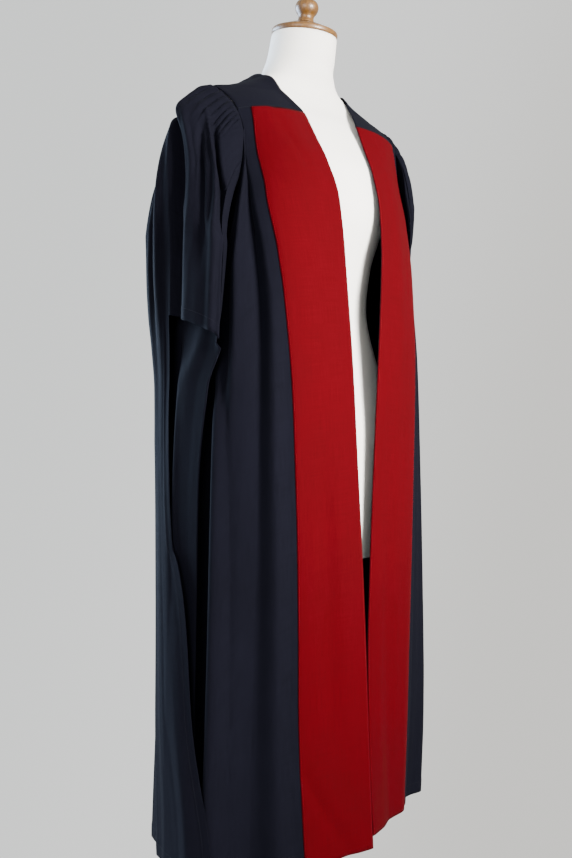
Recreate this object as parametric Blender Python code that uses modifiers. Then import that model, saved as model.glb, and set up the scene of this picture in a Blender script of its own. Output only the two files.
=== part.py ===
"""A graduation gown, open in front, on a limbless dress form with a wooden neck cap.

Metres, +Z up. The origin is on the floor under the middle of the stand. The gown faces -Y, so the
wearer's right is at -X.
"""

import math

import bpy
import numpy as np

# The gown's sizes
CLOTH = 0.0016  # thickness of the black cloth
FACING_CLOTH = 0.0012  # thickness of the red facing
FACING_WIDTH = 0.115
FACING_SHARE = 0.36  # share of a front's columns that the facing covers
SEAM = 0.0005  # between the edges of two pieces at a seam
LAP = 0.0006  # between a piece and the one that lies on it
HEM_Z = 0.300
YOKE_BACK_Z = 1.315
YOKE_BOW = 0.004  # how far the yoke stands over a straight line from its neck edge
YOKE_BACK_BOW = 0.040  # how far its back seam runs behind a straight line between the armholes
YOKE_ARM_SHARE = 0.60  # share of half the yoke's outer edge that lies on the armhole
FRONT_TURN = 0.46  # share of a front's columns that hang from the yoke
BACK_ARM_SHARE = 0.11  # share of the back's columns under each armhole
SIDE_SEAM_ANGLE = 100.0  # degrees round the body from the front centre
BLEND_DROP = 0.20  # how far below its top edge a panel takes on the body's section
FOLDS_FROM = 0.12  # share of a front's height over which its folds begin
FOLDS_GROWN = 0.62  # share of it at which they are as deep as at the hem
FLUTES_FROM = 0.13  # share of the back at which its flutes begin, beside each armhole
FLUTES_EASE = 0.14  # share over which they grow
YOKE_REST_Z = 1.34  # the yoke lies on the form from here up
SHOULDER_RANGE = (1.20, 1.50)  # between these heights the form's surface is looked for
FRONT_EXPONENT = {-1: 3.2, 1: 2.5}
RIGHT, LEFT = -1, 1

# Counts
PANEL_ROWS = 12
FRONT_FACING_COLUMNS = 4
FRONT_SIDE_COLUMNS = 11
BACK_SIDE_COLUMNS = 5
BACK_FLUTES = 13
COLUMNS_PER_FLUTE = 4
YOKE_ROWS = 6
YOKE_SHOULDER_COLUMNS = 13
YOKE_BACK_COLUMNS = 8
SLEEVE_TUCKS = 22
COLUMNS_PER_TUCK = 2
SLEEVE_FRONT_COLUMNS = 4
SLEEVE_INNER_COLUMNS = 12
ROW_CROWDING = 1.35  # how much closer the panels' rows are at the top
ANGLE_STEPS = 121
HEIGHT_STEPS = 28

# The dress form's and the stand's sizes
CLEARANCE = 0.0007  # between the form and the cloth that rests on it, upwards
CLEARANCE_OUT = 0.0020  # and outwards
NECK_LEAN = math.radians(8)
CAP_RADIUS = 0.052
CAP_Z = 1.515
CAP_Y = -0.0035
NECK_BASE_Z = 1.450
POLE_RADIUS = 0.015
BASE_RADIUS = 0.190
BASE_HEIGHT = 0.022
FORM_SIDES = 40
FORM_RINGS_BETWEEN = (0.930, 1.410, 1.430)  # rings besides those of its table
CAP_SIDES = 36
KNOB_SIDES = 24
POLE_SIDES = 28
BASE_SIDES = 48


def table(names, *rows):
    """A table as a dictionary of its named columns, sorted by the first."""
    rows = sorted(rows)
    return {name: np.array(column, float) for name, column in zip(names.split(), zip(*rows))}


# The gown's section at each height: half width, front depth, how much the front falls back towards
# the side, back depth, and how square the back is
BODY = table(
    "z right_half left_half right_front left_front right_turn left_turn back back_power",
    (1.375, 0.176, 0.176, 0.063, 0.064, 0.00, 0.00, 0.092, 2.4),
    (1.335, 0.178, 0.178, 0.086, 0.082, 0.00, 0.05, 0.108, 2.4),
    (1.290, 0.182, 0.180, 0.110, 0.103, -0.05, 0.10, 0.118, 2.4),
    (1.230, 0.190, 0.188, 0.130, 0.118, -0.11, 0.12, 0.124, 2.4),
    (1.150, 0.198, 0.196, 0.134, 0.122, -0.22, 0.06, 0.127, 2.2),
    (1.000, 0.210, 0.204, 0.142, 0.124, -0.22, 0.00, 0.130, 2.0),
    (0.820, 0.218, 0.209, 0.148, 0.124, -0.11, 0.02, 0.134, 2.0),
    (0.620, 0.224, 0.216, 0.156, 0.124, 0.06, 0.09, 0.139, 2.0),
    (0.460, 0.230, 0.225, 0.162, 0.130, 0.18, 0.26, 0.145, 2.0),
    (0.300, 0.236, 0.233, 0.167, 0.142, 0.13, 0.52, 0.152, 2.0),
)

# How far the open front edge is from the middle
OPENING = table(
    "z right left",
    (1.375, 0.054, 0.054),
    (1.230, 0.048, 0.056),
    (1.000, 0.036, 0.041),
    (0.710, 0.021, 0.024),
    (0.510, 0.016, 0.017),
    (0.300, 0.013, 0.015),
)

# The armhole, by degrees round it from the shoulder point to the front; x is away from the middle
ARMHOLE = table(
    "angle x y z",
    (-70, 0.166, 0.075, YOKE_BACK_Z),
    (-35, 0.168, 0.052, 1.3720),
    (0, 0.172, 0.008, 1.4015),
    (36, 0.163, -0.043, 1.3600),
    (70, 0.165, -0.063, 1.3150),
    (105, 0.172, -0.066, 1.2620),
    (140, 0.182, -0.042, 1.2140),
    (180, 0.190, 0.010, 1.1940),
    (220, 0.186, 0.050, 1.2250),
    (260, 0.174, 0.070, 1.2770),
    (290, 0.166, 0.075, YOKE_BACK_Z),
)
FRONT_CORNER = 36
UNDERARM = 180
BACK_CORNER = -70
FRONT_SEAM = 95  # where the sleeve's front seam meets the armhole

# The neck edge, from the front inner corner to the middle of the back, on one side
NECK_EDGE = table(
    "share x y z",
    (0.00, 0.0540, -0.0625, 1.3720),
    (0.20, 0.0690, -0.0290, 1.4090),
    (0.40, 0.0780, 0.0100, 1.4420),
    (0.65, 0.0640, 0.0520, 1.4560),
    (0.85, 0.0300, 0.0770, 1.4560),
    (1.00, 0.0000, 0.0830, 1.4550),
)

# Folds of the fronts: place and half width as shares of the cloth past the facing, height out of it
FRONT_FOLDS = {
    RIGHT: table(
        "place half top bottom",
        (0.14, 0.10, 0.000, 0.008),
        (0.30, 0.11, -0.009, -0.008),
        (0.56, 0.14, 0.003, 0.017),
        (0.73, 0.13, -0.001, -0.020),
        (0.91, 0.09, 0.000, 0.006),
    ),
    LEFT: table(
        "place half top bottom",
        (0.22, 0.13, -0.002, -0.006),
        (0.48, 0.16, 0.003, 0.012),
        (0.76, 0.14, -0.003, -0.011),
    ),
}

# How far the back's flutes stand out of and into the cloth, by height
FLUTES = table(
    "z depth",
    (1.315, 0.0025),
    (1.230, 0.0060),
    (1.000, 0.0085),
    (0.620, 0.0110),
    (0.300, 0.0130),
)

# The hanging sleeve. Angles are degrees round the body: its front seam, the tail's front edge, the
# inner layer's front edge and the rear fold. The rest is how far its layers hang off the body.
SLEEVE = table(
    "z seam tail inner rear front lobe valley puff back under",
    (1.150, 68, 95, 68, 127, 0.032, 0.044, 0.038, 0.058, 0.036, 0.0075),
    (1.080, 68, 96, 68, 127, 0.031, 0.042, 0.034, 0.053, 0.033, 0.0110),
    (1.020, 68, 97, 70, 127, 0.030, 0.039, 0.028, 0.045, 0.030, 0.0140),
    (0.960, 70, 98, 78, 127, 0.030, 0.034, 0.024, 0.038, 0.028, 0.0140),
    (0.820, 70, 97, 82, 127, 0.028, 0.030, 0.023, 0.033, 0.025, 0.0130),
    (0.650, 66, 91, 83, 127, 0.026, 0.028, 0.022, 0.031, 0.025, 0.0120),
    (0.500, 60, 81, 81, 127, 0.026, 0.027, 0.024, 0.030, 0.025, 0.0120),
    (0.350, 54, 67, 77, 127, 0.030, 0.030, 0.028, 0.030, 0.025, 0.0120),
    (0.290, 53, 64, 76, 127, 0.030, 0.030, 0.029, 0.030, 0.025, 0.0120),
)
SLEEVE_LOOP = (0.0, 0.20, 0.42, 0.70, 1.0)  # where the outer layer's depths stand across it
SLEEVE_TAIL_SHARE = 0.42  # the tail's front edge, as a share of the outer layer
SLEEVE_LIP_Z = 1.030  # the bottom of the front seam
SLEEVE_APEX_Z = 1.064  # the top of the arm opening
SLEEVE_LEVELS = (1.15, 1.105, 1.064, 1.02, 0.96, 0.88, 0.78, 0.65, 0.50, 0.38, 0.29)
SLEEVE_FULLNESS = {RIGHT: 1.0, LEFT: 0.60}  # how far the outer layer hangs off, against the table
SLEEVE_TURN = {RIGHT: 0.0, LEFT: 20.0}  # degrees that the front of the sleeve hangs farther back
TURNED_WIDTH = 59  # degrees in front of the rear fold at which it is turned as far as that
FOLD_SHARE = 0.035  # share of the sleeve that its rear fold or its front seam rounds off

# The tucked head over the shoulder point, row by row: how far out and how far down it goes
HEAD = table(
    "row out drop share",
    (1, 0.026, 0.010, 0.08),
    (2, 0.050, 0.022, 0.20),
    (3, 0.068, 0.040, 0.36),
    (4, 0.073, 0.072, 0.58),
)
HEAD_SIZE = {RIGHT: 1.0, LEFT: 0.66}
HEAD_ROWS = 6
HEAD_REACH = 0.75  # how fast the head falls off beside the shoulder point, against a quarter turn
HEAD_SHARPNESS = 1.2
ON_YOKE = (40, 70)  # degrees from the shoulder point between which the sleeve leaves the yoke's edge
TUCKS_FRONT = 56  # the tucks run between these degrees of the armhole
TUCKS_BACK = -76
TUCK_DEPTH = 0.0022
TUCK_STRENGTH = {1: 0.7, 2: 1.0, 3: 0.9, 4: 0.5}  # by row of the head
PUFF = 0.004  # how far the sleeve bellies out under its tucks
UNDERARM_EASE = 0.008  # how far the sleeve stands off the body just under the armhole
SLEEVE_MIDDLE_Y = 0.005

# The dress form: half width, front and back depth, and how far the section's middle is behind x = 0
FORM = table(
    "z half front back middle",
    (0.7030, 0.1560, 0.1000, 0.1020, 0.000),
    (0.7150, 0.1620, 0.1055, 0.1090, 0.000),
    (0.7600, 0.1660, 0.1090, 0.1150, 0.000),
    (0.8800, 0.1680, 0.1070, 0.1220, 0.000),
    (0.9800, 0.1450, 0.0950, 0.1060, 0.000),
    (1.0900, 0.1150, 0.0820, 0.0800, 0.000),
    (1.1500, 0.1200, 0.0900, 0.0840, 0.000),
    (1.2300, 0.1460, 0.1100, 0.0960, 0.000),
    (1.2900, 0.1640, 0.0990, 0.1000, 0.000),
    (1.3400, 0.1740, 0.0760, 0.0940, 0.002),
    (1.3750, 0.1750, 0.0560, 0.0810, 0.004),
    (1.3880, 0.1700, 0.0480, 0.0720, 0.006),
    (1.3990, 0.1600, 0.0430, 0.0650, 0.008),
    (1.4200, 0.1110, 0.0400, 0.0580, 0.011),
    (1.4400, 0.0735, 0.0480, 0.0580, 0.014),
    (1.4550, 0.0600, 0.0560, 0.0570, 0.014),
    (1.4800, 0.0540, 0.0540, 0.0540, 0.005),
    (CAP_Z, 0.0516, 0.0516, 0.0516, CAP_Y),
)


# The turned pieces' profiles, from top to bottom: radius and height over each one's own foot
CAP_PROFILE = [
    (0, 0.0220),
    (0.012, 0.0215),
    (0.026, 0.0185),
    (0.040, 0.0125),
    (CAP_RADIUS - 0.003, 0.0085),
    (CAP_RADIUS, 0.0060),
    (CAP_RADIUS, 0.0025),
    (CAP_RADIUS - 0.0015, 0),
    (0, 0),
]
KNOB_PROFILE = [
    (0, 0.036),
    (0.0100, 0.035),
    (0.0170, 0.030),
    (0.0190, 0.023),
    (0.0170, 0.016),
    (0.0130, 0.011),
    (0.0120, 0.006),
    (0.0135, 0),
    (0, 0),
]
# The pole's foot: how much wider than the pole, and height over the base
POLE_FLARE = [(0, 0.030), (0.009, 0.010), (0.011, 0)]
# The base's rounded edge: how far in from its radius, and height
BASE_EDGE = [(0.012, BASE_HEIGHT), (0.004, 0.018), (0, 0.012), (0, 0.004), (0.003, 0)]


def smooth(xs, ys, x):
    """A curve through the points that never overshoots them. xs rise."""
    x = np.clip(x, xs[0], xs[-1])
    step = np.diff(xs)
    slope = np.diff(ys) / step
    same_way = slope[1:] * slope[:-1] > 0
    total = np.where(same_way, slope[1:] + slope[:-1], 1.0)
    inner = np.where(same_way, 2 * slope[1:] * slope[:-1] / total, 0.0)
    tangent = np.concatenate([[slope[0]], inner, [slope[-1]]])
    i = np.clip(np.searchsorted(xs, x, side="right") - 1, 0, len(step) - 1)
    t = (x - xs[i]) / step[i]
    from_start = (1 + 2 * t) * (1 - t) ** 2 * ys[i] + t * (1 - t) ** 2 * step[i] * tangent[i]
    from_end = t * t * (3 - 2 * t) * ys[i + 1] + t * t * (t - 1) * step[i] * tangent[i + 1]
    return from_start + from_end


def column(values, name, x):
    """A named column of a table at x, where x is the table's first column."""
    first = next(iter(values))
    return smooth(values[first], values[name], np.asarray(x, float))


def ease(t):
    """0 to 1, with level ends."""
    t = np.clip(t, 0, 1)
    return t * t * (3 - 2 * t)


def bump(x, place, half):
    """1 at the place and 0 past half a width from it."""
    return 1 - ease(np.abs(x - place) / half)


def of_side(side, name):
    return ("right_" if side == RIGHT else "left_") + name


def body_point(side, z, angle, out=0.0):
    """A point of the body's section, angle degrees round it from the front, moved out."""
    half = column(BODY, of_side(side, "half"), z)
    front = column(BODY, of_side(side, "front"), z)
    back = column(BODY, "back", z)
    sine = np.clip(np.sin(np.radians(angle)), 0, 1)
    cosine = np.cos(np.radians(angle))
    ahead = cosine > 0
    power = 2 / np.where(ahead, FRONT_EXPONENT[side], column(BODY, "back_power", z))
    x = half * sine**power
    front = front * (1 - column(BODY, of_side(side, "turn"), z) * x / half)
    y = np.where(ahead, -front, back) * np.abs(cosine) ** power
    depth = np.where(ahead, front, back)
    nx = (np.abs(x) / half) ** (2 / power - 1) / half
    ny = np.sign(y) * (np.abs(y) / depth) ** (2 / power - 1) / depth
    length = np.hypot(nx, ny)
    return np.stack([side * (x + out * nx / length), y + out * ny / length, z + 0 * x], -1)


def opening_angle(side, z):
    """Degrees round the body to the open front edge at each height."""
    away = column(OPENING, "right" if side == RIGHT else "left", z)
    half = column(BODY, of_side(side, "half"), z)
    return np.degrees(np.arcsin((away / half) ** (FRONT_EXPONENT[side] / 2)))


def angle_at(side, z, across):
    """The angle at a share of the front's cloth: the facing's part is FACING_WIDTH wide."""
    steps = np.linspace(0, 1, ANGLE_STEPS)
    start = opening_angle(side, z)
    angles = start[..., None] + (SIDE_SEAM_ANGLE - start[..., None]) * steps
    points = body_point(side, z[..., None], angles)
    run = np.linalg.norm(np.diff(points, axis=-2), axis=-1)
    along = np.concatenate([np.zeros(z.shape + (1,)), np.cumsum(run, axis=-1)], -1)
    whole = along[..., -1]
    past = (across - FACING_SHARE) / (1 - FACING_SHARE)
    wanted = np.where(
        across <= FACING_SHARE,
        across / FACING_SHARE * FACING_WIDTH,
        FACING_WIDTH + past * (whole - FACING_WIDTH),
    )
    flat = zip(wanted.ravel(), along.reshape(-1, ANGLE_STEPS), angles.reshape(-1, ANGLE_STEPS))
    return np.array([np.interp(w, a, g) for w, a, g in flat]).reshape(z.shape)


def armhole_point(side, angle):
    """A point of the armhole, degrees round it from the shoulder point towards the front."""
    angle = (np.asarray(angle, float) - BACK_CORNER) % 360 + BACK_CORNER
    return np.stack([column(ARMHOLE, name, angle) for name in "xyz"], -1) * (side, 1, 1)


def front_top(side, across):
    """The front's upper edge: along the yoke, then down the armhole to the underarm."""
    corner = armhole_point(side, FRONT_CORNER)
    inner = np.array([side * NECK_EDGE["x"][0], NECK_EDGE["y"][0], NECK_EDGE["z"][0]])
    share = np.clip(across / FRONT_TURN, 0, 1)[..., None]
    bow = np.array([0, -0.010, 0.002]) * np.sin(np.pi * share)
    seam = inner + (corner - inner) * share + bow
    down = np.clip((across - FRONT_TURN) / (1 - FRONT_TURN), 0, 1)
    arm = armhole_point(side, FRONT_CORNER + (UNDERARM - FRONT_CORNER) * down)
    return np.where((across <= FRONT_TURN)[..., None], seam, arm)


def front_point(side, across, down):
    """A point of the front panel; across and down are shares of it."""
    top = front_top(side, across)
    z = top[..., 2] + (HEM_Z - top[..., 2]) * down
    plain = body_point(side, z, angle_at(side, z, across))
    at_top = body_point(side, top[..., 2], angle_at(side, top[..., 2], across))
    pull = 1 - ease((top[..., 2] - z) / BLEND_DROP)[..., None]
    folded = plain + (top - at_top) * pull
    folded[..., 2] = z
    past = (across - FACING_SHARE) / (1 - FACING_SHARE)
    folds = FRONT_FOLDS[side]
    depth = 0
    for place, half, at_head, at_hem in zip(*folds.values()):
        depth = depth + bump(past, place, half) * (at_head + (at_hem - at_head) * ease(down / FOLDS_GROWN))
    depth = depth * ease(down / FOLDS_FROM)
    outward = body_point(side, z, angle_at(side, z, across), 1.0) - plain
    return folded + outward * depth[..., None]


def back_top(share):
    """The back's upper edge, from the right underarm over the yoke seam to the left underarm."""
    arm = BACK_ARM_SHARE
    climb = 360 + BACK_CORNER - UNDERARM
    right = armhole_point(RIGHT, UNDERARM + climb * np.clip(share / arm, 0, 1))
    left = armhole_point(LEFT, UNDERARM + climb * np.clip((1 - share) / arm, 0, 1))
    middle = np.clip((share - arm) / (1 - 2 * arm), 0, 1)
    corner = armhole_point(LEFT, BACK_CORNER)
    x = -corner[0] + 2 * corner[0] * middle
    y = corner[1] + YOKE_BACK_BOW * np.sin(np.pi * middle) ** 0.7
    seam = np.stack([x, y, YOKE_BACK_Z + 0 * x], -1)
    outer = np.where((share < arm)[..., None], right, left)
    return np.where(((share >= arm) & (share <= 1 - arm))[..., None], seam, outer)


def back_plain(share, z):
    """The back without flutes. share runs from the right side seam to the left one."""
    to_middle = np.minimum(share, 1 - share) * 2
    angle = SIDE_SEAM_ANGLE + (180 - SIDE_SEAM_ANGLE) * to_middle
    right = body_point(RIGHT, z, angle)
    left = body_point(LEFT, z, angle)
    return np.where((share < 0.5)[..., None], right, left)


def flute_depth(share, z):
    """The height of the back's flutes, uneven in width and in depth."""
    middle = (share - BACK_ARM_SHARE) / (1 - 2 * BACK_ARM_SHARE)
    phase = BACK_FLUTES * middle + 0.22 * np.sin(5.1 * middle + 0.6) + 0.13 * np.sin(13.7 * middle)
    uneven = 1 + 0.28 * np.sin(9.3 * middle + 1.0)
    from_side = np.minimum(share, 1 - share)
    edge = ease((from_side - FLUTES_FROM) / FLUTES_EASE)
    return -np.cos(2 * np.pi * phase) * column(FLUTES, "depth", z) * uneven * edge


def back_point(share, down):
    """A point of the back panel; share runs across it and down from its upper edge."""
    top = back_top(share)
    z = top[..., 2] + (HEM_Z - top[..., 2]) * down
    plain = back_plain(share, z)
    pull = 1 - ease((top[..., 2] - z) / BLEND_DROP)[..., None]
    folded = plain + (top - back_plain(share, top[..., 2])) * pull
    folded[..., 2] = z
    away = folded * (1, 1, 0)
    away = away / np.linalg.norm(away, axis=-1, keepdims=True)
    return folded + away * flute_depth(share, z)[..., None]


def form_half(z):
    """The form's section at z: half width, front, back and middle."""
    return [column(FORM, name, z) for name in ("half", "front", "back", "middle")]


def form_top(x, y, out):
    """The height of the form's surface, grown by out, over a point of the shoulders or the back."""
    low, high = [np.full(x.shape, z) for z in SHOULDER_RANGE]
    for _ in range(HEIGHT_STEPS):
        z = (low + high) / 2
        half, front, back, middle = form_half(z)
        depth = np.where(y < middle, front, back)
        inside = (x / (half + out)) ** 2 + ((y - middle) / (depth + out)) ** 2 < 1
        low, high = np.where(inside, z, low), np.where(inside, high, z)
    return low


def yoke_grid():
    """The yoke's rows, from the neck edge out, and its columns, from the right front to the left."""
    shoulder = np.linspace(0, YOKE_ARM_SHARE, YOKE_SHOULDER_COLUMNS + 1)
    behind = np.linspace(YOKE_ARM_SHARE, 1, YOKE_BACK_COLUMNS + 1)[1:]
    shares = np.concatenate([shoulder, behind])
    out = np.linspace(0, 1, YOKE_ROWS + 1)
    grid = []
    for side in (RIGHT, LEFT):
        neck = np.stack([column(NECK_EDGE, name, shares) for name in "xyz"], -1) * (side, 1, 1)
        over = np.clip(shares / YOKE_ARM_SHARE, 0, 1)
        arm = armhole_point(side, FRONT_CORNER + (BACK_CORNER - FRONT_CORNER) * over)
        behind_share = np.clip((shares - YOKE_ARM_SHARE) / (1 - YOKE_ARM_SHARE), 0, 1)
        across = BACK_ARM_SHARE + (0.5 - BACK_ARM_SHARE) * behind_share
        seam = back_top(across if side == RIGHT else 1 - across)
        outer = np.where((shares <= YOKE_ARM_SHARE)[:, None], arm, seam)
        line = neck[:, None] + (outer - neck)[:, None] * out[:, None]
        bow = np.sin(np.pi * out) * YOKE_BOW
        line[..., 2] += bow
        height = form_top(line[..., 0], line[..., 1], CLEARANCE_OUT) + CLEARANCE
        line[..., 2] = np.maximum(line[..., 2], np.where(line[..., 2] > YOKE_REST_Z, height, 0))
        line[0] = front_top(side, FRONT_TURN * out)
        grid.append(line)
    return np.concatenate([grid[0], grid[1][-2::-1]]).transpose(1, 0, 2)


def sleeve_share(side, u, z):
    """Degrees round the body and distance out of it, for a share u round the sleeve."""
    get = {name: column(SLEEVE, name, z) for name in SLEEVE}
    for name in ("seam", "tail", "inner"):
        before_rear = np.clip((get["rear"] - get[name]) / TURNED_WIDTH, 0, 1)
        get[name] = get[name] + SLEEVE_TURN[side] * before_rear
    outer = u <= 0.5
    across = np.where(outer, u, 1 - u) / 0.5
    to_tail = np.clip(across / SLEEVE_TAIL_SHARE, 0, 1)
    past_tail = np.clip((across - SLEEVE_TAIL_SHARE) / (1 - SLEEVE_TAIL_SHARE), 0, 1)
    outer_angle = (
        get["seam"]
        + (get["tail"] - get["seam"]) * to_tail
        + (get["rear"] - get["tail"]) * past_tail
    )
    inner_angle = get["inner"] + (get["rear"] - get["inner"]) * across
    depths = np.stack([get[name] for name in ("front", "lobe", "valley", "puff", "back")], -1)
    loop = np.array(SLEEVE_LOOP)
    flat = zip(across.ravel(), depths.reshape(-1, 5))
    off = np.array([smooth(loop, d, np.array(a)) for a, d in flat]).reshape(u.shape)
    off = get["under"] + (off - get["under"]) * SLEEVE_FULLNESS[side]
    seam_off = get["under"] + (get["front"] - get["under"]) * SLEEVE_FULLNESS[side]
    fold_off = get["under"] + (get["back"] - get["under"]) * SLEEVE_FULLNESS[side] / 2
    to_fold = ease(np.abs(u - 0.5) / FOLD_SHARE)
    to_seam = ease(np.minimum(u, 1 - u) / FOLD_SHARE)
    to_seam = np.where(z > SLEEVE_LIP_Z - 0.005, to_seam, 1)
    layer = fold_off + (np.where(outer, off, get["under"]) - fold_off) * to_fold
    at_seam = np.where(outer, seam_off, seam_off - 2 * CLOTH)
    layer = at_seam + (layer - at_seam) * to_seam
    return np.where(outer, outer_angle, inner_angle), layer


def sleeve_section(side, u, z):
    angle, off = sleeve_share(side, u, z)
    return body_point(side, z, angle, off)


def sleeve_grid(side, u):
    """The sleeve's rows from the armhole down. u runs from the front seam over the top to it again."""
    angle = FRONT_SEAM - 360 * u
    from_top = np.abs((angle + 180) % 360 - 180)
    reach = np.cos(np.radians(np.clip(from_top * HEAD_REACH, 0, 90)))
    reach = np.clip(reach, 0, 1)[:, None] ** HEAD_SHARPNESS
    on_yoke = 1 - ease((from_top - ON_YOKE[0]) / (ON_YOKE[1] - ON_YOKE[0]))
    first = sleeve_section(side, u, np.full(u.shape, SLEEVE_LEVELS[0]))
    away = np.array([side, 0, 0])
    down = np.array([0, 0, -1])
    edge = armhole_point(side, angle)
    away_from_body = (edge - (0, SLEEVE_MIDDLE_Y, 0)) * (0.4, 1, 0)
    away_from_body = away_from_body / np.linalg.norm(away_from_body, axis=-1, keepdims=True)
    on_yoke = on_yoke[:, None]
    facing_body = np.maximum(ease((u - 0.50) / 0.06), 1 - ease((u - 0.03) / 0.05))[:, None]
    lap = CLOTH + LAP + CLOTH * facing_body
    arm = edge + away_from_body * lap * (1 - on_yoke) + away * 2 * SEAM * on_yoke
    ease_out = away_from_body * UNDERARM_EASE * (1 - reach)
    rows = [arm]
    for out, drop, share in zip(HEAD["out"], HEAD["drop"], HEAD["share"]):
        over = arm + (away * out + down * drop) * HEAD_SIZE[side]
        rows.append(arm + (first - arm) * share * (1 - reach) + (over - arm) * reach + ease_out)
    rows.append((rows[-1] + first + ease_out) / 2 + away * PUFF * reach * HEAD_SIZE[side])
    for z in SLEEVE_LEVELS:
        level = np.full(u.shape, z)
        across = np.where(u <= 0.5, u / 0.5, 1)
        to_tail = np.clip(across / SLEEVE_TAIL_SHARE, 0, 1)
        lip = SLEEVE_LIP_Z + (SLEEVE_APEX_Z - SLEEVE_LIP_Z) * to_tail
        level = np.where((z <= SLEEVE_APEX_Z) & (across < SLEEVE_TAIL_SHARE), lip, level)
        rows.append(sleeve_section(side, u, level))
    grid = np.array(rows)
    place = (TUCKS_FRONT - angle) / (TUCKS_FRONT - TUCKS_BACK)
    tucks = -np.cos(2 * np.pi * SLEEVE_TUCKS * place) * (np.abs(place - 0.5) <= 0.5)
    for row, strength in TUCK_STRENGTH.items():
        grid[row, :, 2] += TUCK_DEPTH * tucks * strength
    return grid


def clear_scene():
    for item in list(bpy.data.objects):
        bpy.data.objects.remove(item, do_unlink=True)


def make_collection(name):
    collection = bpy.data.collections.new(name)
    bpy.context.scene.collection.children.link(collection)
    return collection


def make_material(name, colour, roughness, sheen=0.0, coat=0.0):
    material = bpy.data.materials.new(name)
    material.use_nodes = True
    shader = material.node_tree.nodes["Principled BSDF"]
    shader.inputs["Base Color"].default_value = (*colour, 1)
    shader.inputs["Roughness"].default_value = roughness
    shader.inputs["Metallic"].default_value = 0.0
    shader.inputs["Sheen Weight"].default_value = sheen
    shader.inputs["Coat Weight"].default_value = coat
    return material


def pull_back(grid, edges, gap):
    """Moves the named edges of a grid into it by half the gap."""
    ends = {"top": (0, 1), "bottom": (-1, -2)}
    sides = {"first": (0, 1), "last": (-1, -2)}
    for edge in edges:
        if edge in ends:
            i, j = ends[edge]
            way = grid[j] - grid[i]
            grid[i] += way / np.linalg.norm(way, axis=-1, keepdims=True) * gap / 2
        else:
            i, j = sides[edge]
            way = grid[:, j] - grid[:, i]
            grid[:, i] += way / np.linalg.norm(way, axis=-1, keepdims=True) * gap / 2
    return grid


def grid_normals(grid):
    """The unit normal at each point of a grid, by rows crossed with columns."""
    down = np.gradient(grid, axis=0)
    across = np.gradient(grid, axis=1)
    normal = np.cross(across, down)
    return normal / np.linalg.norm(normal, axis=-1, keepdims=True)


def cloth_wall(collection, name, grid, thickness, material, outward, keep=None, mirrored=0):
    """A wall of cloth on a grid of points, its inner face on the grid. outward is +1 or -1.

    The quads of the first columns, as many as mirrored says, are split the other way.
    """
    rows, columns = grid.shape[:2]
    faces = []
    for i in range(rows - 1):
        for j in range(columns - 1):
            if keep is None or keep[i, j]:
                a, b = i * columns + j, i * columns + j + 1
                c, d = b + columns, a + columns
                if j < mirrored:
                    a, b, c, d = b, c, d, a
                faces.append((a, b, c, d) if outward > 0 else (a, d, c, b))
    used = sorted({v for face in faces for v in face})
    index = {v: k for k, v in enumerate(used)}
    points = grid.reshape(-1, 3)[used]
    mesh = bpy.data.meshes.new(name)
    mesh.from_pydata([tuple(p) for p in points], [], [[index[v] for v in face] for face in faces])
    mesh.update()
    item = bpy.data.objects.new(name, mesh)
    collection.objects.link(item)
    mesh.materials.append(material)
    solidify = item.modifiers.new("Wall", "SOLIDIFY")
    solidify.thickness = thickness
    solidify.offset = 1.0
    solidify.use_rim = True
    solidify.use_even_offset = False
    return item


def turned(collection, name, profile, sides, material):
    """A turned piece from a profile at +X, run from top to bottom."""
    mesh = bpy.data.meshes.new(name)
    edges = [(i, i + 1) for i in range(len(profile) - 1)]
    mesh.from_pydata([(r, 0, z) for r, z in profile], edges, [])
    item = bpy.data.objects.new(name, mesh)
    collection.objects.link(item)
    mesh.materials.append(material)
    screw = item.modifiers.new("Turn", "SCREW")
    screw.steps = sides
    screw.render_steps = sides
    screw.angle = 2 * math.pi
    screw.use_merge_vertices = True
    screw.merge_threshold = 0.0001
    return item


def make_fronts(collection, black, red):
    facing = np.linspace(0, FACING_SHARE, FRONT_FACING_COLUMNS + 1)
    side_part = np.linspace(FACING_SHARE, 1, FRONT_SIDE_COLUMNS + 1)[1:]
    across = np.concatenate([facing, side_part])
    down = np.linspace(0, 1, PANEL_ROWS + 1) ** ROW_CROWDING
    for side, label in ((RIGHT, "right"), (LEFT, "left")):
        shares, depths = np.meshgrid(across, down)
        grid = front_point(side, shares, depths)
        normals = grid_normals(grid) * -side
        lying = (grid + normals * (CLOTH + LAP))[:, : FRONT_FACING_COLUMNS + 1]
        lying = pull_back(lying, ("top",), 4 * SEAM)
        grid = pull_back(grid, ("top", "last"), SEAM)
        cloth_wall(collection, f"front_{label}", grid, CLOTH, black, -side)
        cloth_wall(collection, f"facing_{label}", lying, FACING_CLOTH, red, -side)


def make_back(collection, black):
    arm = np.linspace(0, BACK_ARM_SHARE, BACK_SIDE_COLUMNS + 1)
    flutes = np.linspace(BACK_ARM_SHARE, 1 - BACK_ARM_SHARE, BACK_FLUTES * COLUMNS_PER_FLUTE + 1)
    across = np.concatenate([arm[:-1], flutes, 1 - arm[-2::-1]])
    down = np.linspace(0, 1, PANEL_ROWS + 1) ** ROW_CROWDING
    shares, depths = np.meshgrid(across, down)
    grid = back_point(shares, depths)
    grid = pull_back(grid, ("top", "first", "last"), SEAM)
    cloth_wall(collection, "back", grid, CLOTH, black, 1)


def make_yoke(collection, black):
    grid = yoke_grid()
    grid = pull_back(grid, ("first", "last"), SEAM)
    grid[-1, :, 2] += SEAM
    cloth_wall(collection, "yoke", grid, CLOTH, black, 1, mirrored=grid.shape[1] // 2)


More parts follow.
